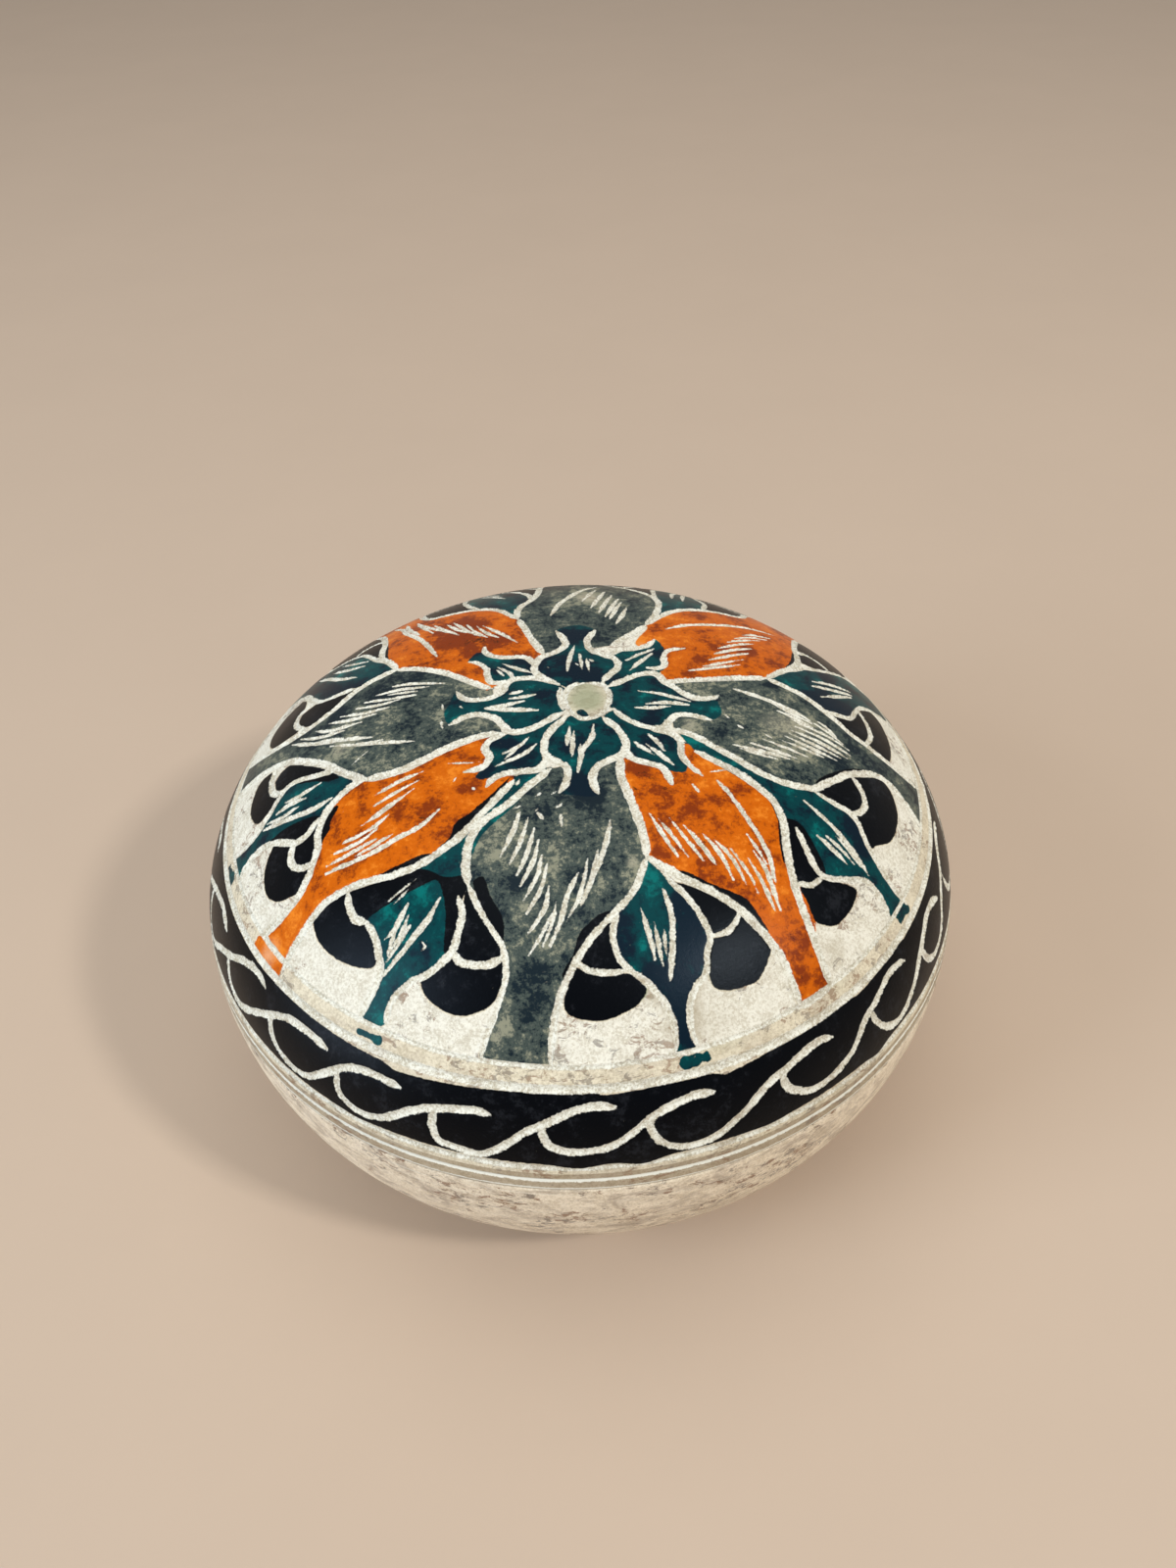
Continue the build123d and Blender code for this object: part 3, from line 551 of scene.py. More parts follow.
# Paint dabbed on the plain strip below the flower: (kind, from and to in degrees, from and to down the dome)
DABS = (
    ("teal", -123.2, -118.8, 58.5, 59.7),
    ("teal", -76.6, -72.6, 58.1, 59.6),
    ("teal", -34.2, -30.2, 58, 59.4),
    ("teal", -164.8, -160.6, 58.5, 59.8),
    ("teal", 14.2, 18.2, 58.4, 59.6),
    ("teal", 63.6, 67.4, 58.3, 59.6),
    ("teal", 107.8, 111.6, 58.3, 59.6),
    ("teal", 149.6, 153.4, 58.4, 59.6),
    ("orange", -147.2, -139.6, 58.1, 60.3),
    ("orange", 37.8, 42.6, 58.5, 59.4),
)

# Carved lines round the pale button in the middle of the small flower: (half width, points)
BUTTON = (
    (0.48, (2, 4.7), (0.2, 4.2), (-0.9, 2.6), (-1.2, 0.4), (-0.5, -2), (0.8, -3.5), (2, -3.9), (3.6, -3.3),
     (4.9, -1.6), (5.5, 0.6), (5.3, 2.8), (4.2, 4.2), (2, 4.7)),
    (0.45, (-1.8, 3.8), (-1.8, 1), (-1.4, -1.8)),
)
# Smudge of teal on the button
SMUDGE = ((0.5, -2.2), (1.2, -1.8), (2, -2.4), (2.3, -3.3), (1.6, -3.7), (0.8, -3.2))

# Darker paint (positive) and thinner, paler paint (negative): (x, y, radius, amount)
# Round (-18, 21), on the orange petal at the back left, the darkening is painted shade as well as darker
# paint
# Where an entry lies on scraped ground, it darkens the stone there instead of paint
SHADES = (
    (2.1, 0.4, 3, 1), (-18, 19, 3.6, 0.5), (-22, 24, 3, 0.3), (30, -4, 7, -0.62), (4, 33, 6, -0.6),
    (20, -3, 3, -0.3), (-2, 9, 3.6, 1), (2.4, 6.8, 2.8, 1), (0.8, 18.4, 3, 1), (-18, 23, 6, 0.6),
    (-48, -35.6, 3, -0.35), (-1.4, -9, 2.4, 0.8), (0.8, -16.6, 2.2, 0.9), (4.6, -10, 1.6, 0.3),
    (11.5, -3.6, 2.8, 0.8), (8.4, 3.4, 1.8, 0.5), (19.6, -1.6, 2.2, 0.5), (-4.2, 0.6, 2, 0.5),
    (-8, -12.6, 2.6, 0.9), (-12.6, -14.2, 1.4, 0.9), (-10.4, -9, 1.8, 0.6), (-7.4, 11, 2, 0.9),
    (-11.4, 8.6, 1.6, 0.4), (13, -8.6, 1.8, 0.8), (8.6, -10.4, 1.4, 0.5), (-2, -20, 3.4, 0.8),
    (2, -19.6, 2.4, 0.8), (-9, -34, 2.4, 0.4), (-7, -46, 2.6, 0.35), (1.6, -27, 2.6, 0.5),
    (7.4, -31, 1.8, -0.7), (-11.4, -53, 2.2, -0.6), (-12, -28, 2, -0.3), (0.4, -25, 2, -0.3),
    (6, -22, 1.6, -0.4), (-25, 10.4, 3.2, 0.9), (-30.6, 8.6, 3.4, 0.9), (-36, 5, 3, 0.8), (-42, 2, 3, 0.6),
    (-49, 2, 4, 0.2), (-14.4, 4, 2.4, -0.5), (-14.4, -4.2, 2.6, -0.4), (-35, -4.6, 2.6, -0.7),
    (-22, -7.6, 2, -0.3), (16.6, -7, 2.4, -0.5), (17, -4.4, 2, -0.4), (35.6, -3.6, 3.4, -0.3),
    (18.6, 3.4, 2, -0.3), (22, -6, 2.6, 0.5), (25.6, 1.8, 2, 0.8), (27, -9, 2, 0.3), (38, -9.6, 2.4, 0.6),
    (45, -6.4, 3, 0.3), (0, 25, 2.6, 0.5), (-4, 24.6, 2.4, 0.4), (-13.6, 17.6, 2.6, 0.5),
    (36.5, -39.6, 2, 0.4), (19, -51.5, 5, 0.5), (36, -43, 5, 0.35), (8, 34, 3.4, 0.5), (3, 32, 2.4, -0.4),
    (-21, -21, 2.4, 0.5), (-15, -17.4, 1.6, 0.6), (-17, -25, 1.4, 0.6), (-12.4, -7.6, 1.8, 0.8),
    (-15.6, -12, 1.6, 0.3), (-32, -27, 1.6, 0.2), (-46, -34.4, 4, -0.5), (-41, -32, 2.4, -0.4),
    (8.4, -15, 1.6, 0.8), (11, -18, 2, 0.6), (13.4, -15.4, 1.6, 0.3), (14, -24, 1.8, 0.3),
    (19.6, -22, 2.2, 0.4), (18, -28, 2, 0.5), (30, -39.6, 1.6, 0.2), (31, -44, 1.2, 0.4),
    (22, 17, 2.8, 0.5), (26, 11.6, 2, 0.5), (28.4, 15.6, 1.8, 0.6), (20, 11.6, 1.4, 0.5),
    (11, 15.4, 1.6, -0.6), (15, 17.6, 2, -0.3), (-11, 18.4, 1.8, 0.9), (-16, 16.6, 2, 0.3),
    (-26.6, 20, 2.6, 0.2), (-18, 29, 2.6, -0.2), (5.6, -39.6, 1.8, 1.5), (6.2, -42.6, 1.5, 1.2),
    (13.8, -36.6, 1.6, 1.1), (15, -39.4, 2.4, 1.6), (14.6, -43.6, 2.6, 1.6), (13, -48.4, 2.6, 1.5),
    (9.4, -47.4, 2, 1.5), (13.6, -53, 2.6, 1.2), (10.4, -34.4, 1.6, -0.45), (8.4, -42.6, 1, -0.6),
    (11, -38.6, 0.9, -0.5), (39.4, -21, 2.4, 0.9), (41, -24.4, 1.6, 0.8), (37, -18.8, 1.6, 0.6),
    (48, -30.6, 2.2, 0.3), (39, 4.4, 2.6, 1.5), (42.8, 4.8, 2.6, 1.5), (30.8, 5.6, 1.4, 1.2),
    (40.4, -9.6, 2, 0.7), (42, 14.4, 2.4, 0.9), (46, 12, 2, 0.5), (-40, 13, 3, 0.8), (-35.6, 12, 2.4, 0.8),
    (-44, 18, 3, 0.7), (-44, 24, 3, 0.6), (-50, -16.8, 2.6, 0.7), (-38.4, -16, 2, 0.5),
    (-20.6, -43, 1.8, 0.5), (-30, -47.6, 1.8, 0.3), (-6.8, 37, 2, 0.6), (-15.4, 46, 3, 0.5),
    (20, 46, 3, 0.5),
)

# Upper edge of the black band, where the brush strayed: (degrees, distance down the dome)
BAND_EDGE = (
    (-156, 61.1), (-142, 61.1), (-139.5, 60.9), (-128, 61.2), (-118, 61.4), (-116, 62), (-108, 61.5),
    (-95, 60.8), (-89, 60.8), (-87.5, 61.4), (-80, 61), (-73, 61.1), (-71, 61.8), (-64, 61.1), (-50, 60.9),
    (-48, 61.3), (-40, 60.8), (-37, 60.8), (-35, 61.1), (-10, 61),
)
# Black paint that ran over the ring below the band: (degrees, half width in degrees, millimetres it ran)
BAND_RUNS = (
    (-91, 3, 0.8), (-83, 2.6, 0.9), (-47, 2.2, 0.8), (-66, 3, 0.4), (-121, 4, 0.4), (40, 4, 0.7),
    (135, 5, 0.6),
)

# Running scroll, (degrees, distance down) for each wave: round the curl, up and over to the next crest
SCROLL = (
    ((-180.5, 66.6), (-179.6, 68.4), (-177.6, 69.8), (-175, 70.2), (-172.4, 69), (-170, 67.4), (-168, 66.2),
     (-165, 64.6), (-162, 63.6), (-159.4, 63.2), (-157, 63.7), (-155.6, 64.2)),
    ((-165.8, 65.2), (-166, 66.8), (-165, 68.8), (-163, 70.2), (-160.6, 70.6), (-158, 69.4), (-156, 68),
     (-153, 66.4), (-151, 65.2), (-149, 63.9), (-147, 63), (-145, 62.4), (-143, 62.4), (-141.2, 63)),
    ((-152.7, 66), (-152.2, 67.4), (-151, 69), (-149.4, 70), (-147.4, 70.4), (-145.6, 70), (-144.2, 69.2),
     (-142, 67.8), (-139.5, 66.2), (-137.5, 65), (-135, 63.8), (-132, 63.4), (-129, 63.5), (-127, 63.9)),
    ((-138, 65.6), (-138.3, 66.6), (-137.8, 68), (-136.6, 69.4), (-134.4, 70.3), (-132, 70.6), (-129.6, 70),
     (-127.4, 68.2), (-125.6, 66.6), (-124.2, 65.4), (-122.4, 64.4), (-120, 63.8), (-117, 63.8),
     (-114.8, 64.1)),
    ((-124.5, 65.8), (-124.5, 67.6), (-124, 69.1), (-122.8, 70.1), (-121, 70.6), (-119, 70.5), (-117, 69.8),
     (-114.5, 68), (-112.5, 66.6), (-110.5, 65.7), (-108, 65), (-106, 64.6), (-104, 64.4), (-102.2, 64.6)),
    ((-109.6, 65.5), (-109.9, 66.8), (-109.8, 68.4), (-109, 70.1), (-107.6, 70.6), (-106, 70.8),
     (-104.2, 71.1), (-102.8, 70.8), (-101, 69.6), (-99.5, 68.2), (-98, 66.9), (-96.5, 65.9), (-94.5, 64.9),
     (-92, 63.6), (-90, 62.9), (-88, 62.8), (-86.1, 63.1)),
    ((-95.2, 65.3), (-95.5, 66.6), (-95, 68), (-93.8, 68.9), (-92, 69.4), (-90, 69.4), (-88, 69.1),
     (-86, 68.3), (-84, 67), (-82, 65.5), (-79.8, 64.4), (-77, 63.6), (-75, 63.4), (-73, 63.7)),
    ((-81.4, 65.2), (-81.8, 66.4), (-81.3, 68), (-80.2, 69.4), (-78.6, 70.4), (-76.6, 70.8), (-74.6, 70.7),
     (-72.8, 70.1), (-71, 69), (-69, 67.8), (-66.5, 66), (-64.5, 65), (-62.5, 64.5), (-60, 63.8),
     (-58, 63.4), (-56, 63.4), (-54.3, 64)),
    ((-62.9, 64.7), (-63.1, 66.2), (-62.4, 67.6), (-60.8, 69), (-58.8, 69.8), (-56.6, 69.8), (-54, 69.1),
     (-51.5, 68), (-49.8, 66.6), (-48.2, 65.2), (-46.6, 64.6), (-44.5, 63.8), (-42, 62.9), (-39.8, 62.7),
     (-38, 63.1), (-36.9, 63.6)),
    ((-46.6, 65), (-46.4, 66.4), (-45.6, 68), (-44.2, 69.5), (-42.2, 70.4), (-40, 70.2), (-37.6, 68.9),
     (-35.5, 67.5), (-33.5, 66.1), (-31.5, 65), (-29.5, 64), (-27.5, 63.3), (-25.4, 63.3), (-23.6, 63.8),
     (-22.3, 64.6)),
    ((-32.2, 65.5), (-31.8, 67.2), (-30.8, 68.7), (-29, 69.6), (-27, 69.7), (-25, 69.1), (-23.2, 67.9),
     (-21.4, 66.4), (-19.4, 65.2), (-17, 64.2), (-15, 63.2), (-12.5, 62.4), (-10, 62.1), (-8, 62.3)),
)
# The waves that the photograph doesn't show repeat one shape: (degrees past the junction, distance down)
WAVE = (
    (0, 65.2), (-0.1, 66.6), (0.5, 68.2), (1.9, 69.5), (4, 70.3), (6.3, 70.1), (8.5, 69), (10.5, 67.5),
    (12.5, 66), (14.6, 64.9), (17, 64), (19.3, 63.3), (21.5, 63.2), (23.4, 63.8),
)
# Degrees of the first repeated wave, degrees from one to the next, and how many there are
WAVE_FIRST = -17.0
WAVE_SPACING = 15.1
WAVE_COUNT = 13
# Each repeated wave is lifted or lowered above a distance down: millimetres, radians to a wave, that distance
WAVE_LIFT = 0.5
WAVE_LIFT_TURN = 2.1
WAVE_LIFT_END = 66


def tilt_at(s):
    """Tilt of the dome from the vertical at the distance s down it: arc length over radius, arc by arc."""
    crown = s / CROWN_RADIUS
    shoulder = CROWN_TILT + (s - CROWN_END) / SHOULDER_RADIUS
    edge = SHOULDER_TILT + (s - SHOULDER_END) / EDGE_RADIUS
    return np.where(s <= CROWN_END, crown, np.where(s <= SHOULDER_END, shoulder, edge))


def dome_point(tilt, depth=0.0):
    """Radius and height on the dome at a tilt, sunk by a depth: centre of that arc plus its radius turned."""
    chosen = [tilt <= CROWN_TILT, tilt <= SHOULDER_TILT]
    centre_r = np.select(chosen, [0.0, SHOULDER_CENTRE[0]], EDGE_CENTRE[0])
    centre_z = np.select(chosen, [CROWN_CENTRE_Z, SHOULDER_CENTRE[1]], EDGE_CENTRE[1])
    radius = np.select(chosen, [CROWN_RADIUS, SHOULDER_RADIUS], EDGE_RADIUS) - depth
    return centre_r + radius * np.sin(tilt), centre_z + radius * np.cos(tilt)


def arc_line(centre, radius, start, end, step):
    """Points on an arc between two tilts from the vertical, about a step apart."""
    count = max(3, int(abs(end - start) * radius / step) + 1)
    tilt = np.linspace(start, end, count)
    return np.stack([centre[0] + radius * np.sin(tilt), centre[1] + radius * np.cos(tilt)], axis=1)


def straight_line(start, end, step):
    """Points on a straight line, about a step apart, without its two ends."""
    count = max(2, int(math.dist(start, end) / step) + 1)
    t = np.linspace(0, 1, count + 1)[1:-1, None]
    return np.array(start) * (1 - t) + np.array(end) * t


# Random heights of the grain on a cube of cells, which repeats, and how far each seed moves along it
GRAIN_CELLS = 32
GRAIN_TABLE = np.random.RandomState(7).rand(GRAIN_CELLS, GRAIN_CELLS, GRAIN_CELLS)
GRAIN_SHIFT = 7.31


def grain(points, size, seed):
    """Smooth random height from -1 to 1 at each point: lattice values, blended by 3t^2 - 2t^3 in a cell."""
    p = points / size + seed * GRAIN_SHIFT
    cell = np.floor(p).astype(int)
    t = p - cell
    t = t * t * (3 - 2 * t)
    total = 0
    for corner in range(8):
        step = np.array([corner & 1, corner >> 1 & 1, corner >> 2 & 1])
        weight = np.prod(np.where(step, t, 1 - t), axis=-1)
        i = (cell + step) % GRAIN_CELLS
        total = total + weight * GRAIN_TABLE[i[..., 0], i[..., 1], i[..., 2]]
    return total * 2 - 1


def uneven(field, points, waver):
    """Adds unevenness made by hand to a field: the sum of some millimetres times the grain at each point."""
    for amount, size, seed in waver:
        field = field + amount * grain(points, size, seed).ravel()
    return field


def spline(points, step=LINE_STEP):
    """Smooth line through given points: a Catmull-Rom cubic between each pair of them."""
    p = np.array(points, float)
    ends = np.vstack([2 * p[0] - p[1], p, 2 * p[-1] - p[-2]])
    runs = []
    for a, b, c, d in zip(ends[:-3], ends[1:-2], ends[2:-1], ends[3:]):
        t = np.linspace(0, 1, int(math.dist(b, c) / step) + 2, endpoint=False)[:, None]
        bend = 2 * a - 5 * b + 4 * c - d
        runs.append(b + 0.5 * ((c - a) * t + bend * t**2 + (3 * b - a - 3 * c + d) * t**3))
    runs.append(p[-1:])
    return np.vstack(runs)


def to_segments(x, y, line):
    """Distance from each point to each straight piece of a line, and how far along that piece it falls."""
    a = line[:-1]
    d = line[1:] - a
    squared = np.maximum((d * d).sum(1), TINY)
    px = x[:, None] - a[:, 0]
    py = y[:, None] - a[:, 1]
    t = np.clip((px * d[:, 0] + py * d[:, 1]) / squared, 0, 1)
    return np.hypot(px - t * d[:, 0], py - t * d[:, 1]), t


def near(x, y, line, margin):
    """Indices of the points inside a line's box, widened by a margin."""
    low = line.min(0) - margin
    high = line.max(0) + margin
    inside = (x > low[0]) & (x < high[0]) & (y > low[1]) & (y < high[1])
    return np.nonzero(inside)[0]


def cut_line(x, y, field, points, half_width, taper):
    """Lowers field to the signed distance from one carved line: distance to the line less its half width.

    The half width grows from a share of itself at each end, over taper millimetres or a third of the line.
    """
    line = spline(points)
    steps = np.hypot(*np.diff(line, axis=0).T)
    along = np.concatenate([[0], np.cumsum(steps)])
    from_end = np.minimum(along, along[-1] - along) / min(taper, along[-1] / 3)
    width = half_width * np.minimum(1, TIP_SHARE + (1 - TIP_SHARE) * from_end)
    index = near(x, y, line, REACH + half_width)
    if len(index) == 0:
        return
    distance, t = to_segments(x[index], y[index], line)
    signed = distance - (width[:-1] * (1 - t) + width[1:] * t)
    field[index] = np.minimum(field[index], signed.min(1))


def outline(parts):
    """Closed outline of a painted area from its parts: points, and carved lines, turned round by "-"."""
    points = []
    for part in parts:
        if isinstance(part, str):
            line = CUTS[part.lstrip("-")][1:]
            points.extend(reversed(line) if part.startswith("-") else line)
        else:
            points.append(part)
    return points


def paint_area(x, y, field, points):
    """Lowers field to the signed distance from a closed outline, negative inside it by the crossing rule."""
    loop = spline([*points, points[0]], OUTLINE_STEP)
    index = near(x, y, loop, REACH)
    if len(index) == 0:
        return
    px = x[index]
    py = y[index]
    distance = to_segments(px, py, loop)[0].min(1)
    a = loop[:-1]
    b = loop[1:]
    rise = np.where(b[:, 1] == a[:, 1], TINY, b[:, 1] - a[:, 1])
    crossing_x = a[:, 0] + (py[:, None] - a[:, 1]) * (b[:, 0] - a[:, 0]) / rise
    spans = (a[:, 1] > py[:, None]) != (b[:, 1] > py[:, None])
    inside = (spans & (px[:, None] < crossing_x)).sum(1) % 2 == 1
    signed = np.where(inside, -distance, distance)
    field[index] = np.minimum(field[index], signed)


def ring(s, where, half_width, wobble):
    """Signed distance from a ring that runs round the dome, with a slight wobble."""
    return np.abs(s - where + wobble) - half_width


def dab_distance(flat, turn, points, dab):
    """Signed distance from a dab of paint: that of a box with rounded corners, with an uneven edge."""
    start, end, top, bottom = dab
    from_middle = np.abs((turn - (start + end) / 2 + 180) % 360 - 180)
    across = (from_middle - (end - start) / 2) * DAB_DEGREE + DAB_ROUND
    down = np.abs(flat - (top + bottom) / 2) - (bottom - top) / 2 + DAB_ROUND
    box = np.hypot(np.maximum(across, 0), np.maximum(down, 0)) + np.minimum(np.maximum(across, down), 0)
    return uneven(box - DAB_ROUND, points, DAB_WAVER)


def within_reach(fields, shape):
    """The fields held between -REACH and REACH, each in the shape of the grid."""
    return {name: np.clip(value, -REACH, REACH).reshape(shape) for name, value in fields.items()}


def layer_paints(areas, far):
    """Lets each paint give way to those over it, less a small lap. Returns the distance to all of them."""
    over = far.copy()
    for name in ("teal", "black", "orange", "grey", "leaf"):
        own = areas[name]
        areas[name] = np.maximum(own, -over)
        over = np.minimum(over, own)
    areas["teal"] = np.minimum(areas["teal"], areas.pop("leaf"))
    # neighbours run a little under one another, so that their ragged edges leave no gap
    above = areas["black"]
    for name in ("orange", "grey", "teal"):
        own = areas[name]
        areas[name] = np.minimum(own, np.maximum(own, above) - LAP)
        above = np.minimum(above, own)
    return over


def flower_fields(s, angle, points):
    """Signed distances, in millimetres, to the carving and to each paint on the flower's part of the dome."""
    x = (s * np.cos(angle)).ravel()
    y = (s * np.sin(angle)).ravel()
    far = np.full(x.shape, REACH)
    cut = far.copy()
    for half_width, *line in (*CUTS.values(), *BUTTON):
        cut_line(x, y, cut, line, half_width, LINE_TAPER)
    for half_width, *line in HATCHES:
        cut_line(x, y, cut, line, half_width, HATCH_TAPER)
    cut = uneven(cut + KNIFE_NARROWING, points, KNIFE_WAVER)
    areas = {}
    for name, group in (("leaf", LEAVES), ("grey", GREY), ("orange", ORANGE), ("black", BLACK),
                        ("teal", SMALL_FLOWER)):
        areas[name] = far.copy()
        for parts in group:
            paint_area(x, y, areas[name], outline(parts))
    flat = s.ravel()
    turn = np.degrees(angle.ravel())
    button = far.copy()
    paint_area(x, y, button, BUTTON[0][1:-1])
    for name in areas:
        areas[name] = np.maximum(np.maximum(areas[name], flat - PAINT_END), -button)
    paint_area(x, y, areas["teal"], SMUDGE)
    for kind, *dab in DABS:
        areas[kind] = np.minimum(areas[kind], dab_distance(flat, turn, points, dab))
    painted = layer_paints(areas, far)
    wobble = grain(points, *WOBBLE_GRAIN).ravel() * RING_WOBBLE
    cut = np.minimum(cut, ring(flat, FIELD_RING, FIELD_RING_HALF, wobble))
    cut = np.minimum(cut, ring(flat, FIELD_END, FIELD_END_HALF, wobble / 2))
    ground = np.minimum(np.minimum(painted - GROUND_GAP, FIELD_RING - flat), button)
    shade = np.zeros_like(x)
    for cx, cy, radius, amount in SHADES:
        shade += amount * np.exp(-((x - cx) ** 2 + (y - cy) ** 2) / (radius * radius))
    return within_reach({"cut": cut, "ground": ground, "shade": np.clip(shade, -1, 1), **areas}, s.shape)


def band_fields(s, angle, points):
    """Signed distances, in millimetres, to the scroll and the black paint on the band round the lid."""
    turn = np.degrees(angle)
    x = np.radians(turn).ravel() * BAND_MEAN_RADIUS
    y = s.ravel()
    cut = np.full(x.shape, REACH)
    paths = [list(path) for path in SCROLL]
    for i in range(WAVE_COUNT):
        start = WAVE_FIRST + WAVE_SPACING * i
        lift = WAVE_LIFT * math.sin(WAVE_LIFT_TURN * i)
        paths.append([(start + d, depth + lift * (depth < WAVE_LIFT_END)) for d, depth in WAVE])
    for path in paths:
        for whole_turn in (-360, 0, 360):
            line = [(math.radians(d + whole_turn) * BAND_MEAN_RADIUS, depth) for d, depth in path]
            cut_line(x, y, cut, line, SCROLL_HALF, LINE_TAPER)
    cut = uneven(cut + KNIFE_NARROWING, points, KNIFE_WAVER)
    edge = np.array(BAND_EDGE)
    wobble = grain(points, *WOBBLE_GRAIN).ravel() * RING_WOBBLE
    turned = (turn.ravel() + 180) % 360 - 180
    top = np.interp(turned, edge[:, 0], edge[:, 1])
    foot = BAND_FOOT - wobble
    for middle, width, drop in BAND_RUNS:
        foot = foot + drop * np.exp(-(((turned - middle) / width) ** 2))
    black = np.maximum(top - y, y - foot)
    cut = np.minimum(cut, ring(y, FIELD_END, FIELD_END_HALF, wobble / 2))
    cut = np.minimum(cut, np.maximum(ring(y, BORDER_RING, BORDER_HALF, wobble), -black))
    far = np.full_like(cut, REACH)
    fields = {"cut": cut, "black": black, "ground": -far, "shade": np.zeros_like(far),
              "orange": far, "grey": far, "teal": far}
    return within_reach(fields, s.shape)


def ease(value, start, end):
    """Smooth step from 0 at start to 1 at end."""
    t = np.clip((value - start) / (end - start), 0, 1)
    return t * t * (3 - 2 * t)


def carved_depth(fields, points, settings):
    """How far the surface lies below the turned dome, in millimetres, from its fields and the stone's grain.

    A carved line is a quarter sine wave deep, the ground a smooth step, and both carry the knife's chatter.
    """
    trench = np.sin(np.clip(-fields["cut"] / TRENCH_SLOPE, 0, 1) * math.pi / 2)
    bare = ease(fields["ground"], 0.0, GROUND_SLOPE)
    fine_share, *fine = FINE_CHATTER
    coarse_share, *coarse = COARSE_CHATTER
    chatter = fine_share * grain(points, *fine) + coarse_share * grain(points, *coarse)
    rough = np.maximum(trench, bare) * chatter
    depth = PAINT_DEPTH + settings.cut_depth * trench
    depth = np.maximum(depth, settings.ground_depth * bare)
    depth = depth + settings.roughness_depth * rough
    depth = depth + SWELL * grain(points, *SWELL_GRAIN)
    return np.maximum(depth, LEAST_DEPTH)


def grid_faces(index, turned=False):
    """Four-sided faces of a grid of point numbers, row by row, or the same faces turned over."""
    corners = [index[:-1, :-1], index[:-1, 1:], index[1:, 1:], index[1:, :-1]]
    if turned:
        corners = corners[:1] + corners[:0:-1]
    return np.stack(corners, axis=-1).reshape(-1, 4)


def repeat_points(fields, u, v, extra):
    """Values and map places of a grid's points, with those of some points once more for the points added."""
    values = {key: np.concatenate([field.ravel(), field.ravel()[extra]]) for key, field in fields.items()}
    chart = np.stack([u.ravel(), v.ravel()], axis=1)
    return values, np.concatenate([chart, chart[extra]])


def put_mesh(name, points, quads, triangles, fields, chart, sharp):
    """Makes a mesh object from arrays: points in millimetres, faces, and each point's fields and map place.

    An edge is sharp where the points at both of its ends are marked sharp.
    """
    mesh = bpy.data.meshes.new(name)
    mesh.vertices.add(len(points))
    mesh.vertices.foreach_set("co", (points * MM).astype(np.float32).ravel())
    corners = np.concatenate([quads.ravel(), triangles.ravel()]).astype(np.int32)
    starts = np.concatenate([np.arange(len(quads)) * 4, 4 * len(quads) + np.arange(len(triangles)) * 3])
    mesh.loops.add(len(corners))
    mesh.loops.foreach_set("vertex_index", corners)
    mesh.polygons.add(len(starts))
    mesh.polygons.foreach_set("loop_start", starts.astype(np.int32))
    mesh.update(calc_edges=True)
    mesh.polygons.foreach_set("use_smooth", np.ones(len(starts), bool))
    if mesh.validate():
        raise RuntimeError(name + " has faces that Blender had to mend")
    uv = mesh.uv_layers.new(name="OFBake")
    uv.data.foreach_set("uv", chart[corners].astype(np.float32).ravel())
    for field, values in fields.items():
        layer = mesh.attributes.new(field, "FLOAT", "POINT")
        layer.data.foreach_set("value", values.astype(np.float32))
    ends = np.empty(len(mesh.edges) * 2, np.int32)
    mesh.edges.foreach_get("vertices", ends)
    layer = mesh.attributes.new("sharp_edge", "BOOLEAN", "EDGE")
    layer.data.foreach_set("value", sharp[ends[0::2]] & sharp[ends[1::2]])
    piece = bpy.data.objects.new(name, mesh)
    bpy.context.scene.collection.objects.link(piece)
    return piece


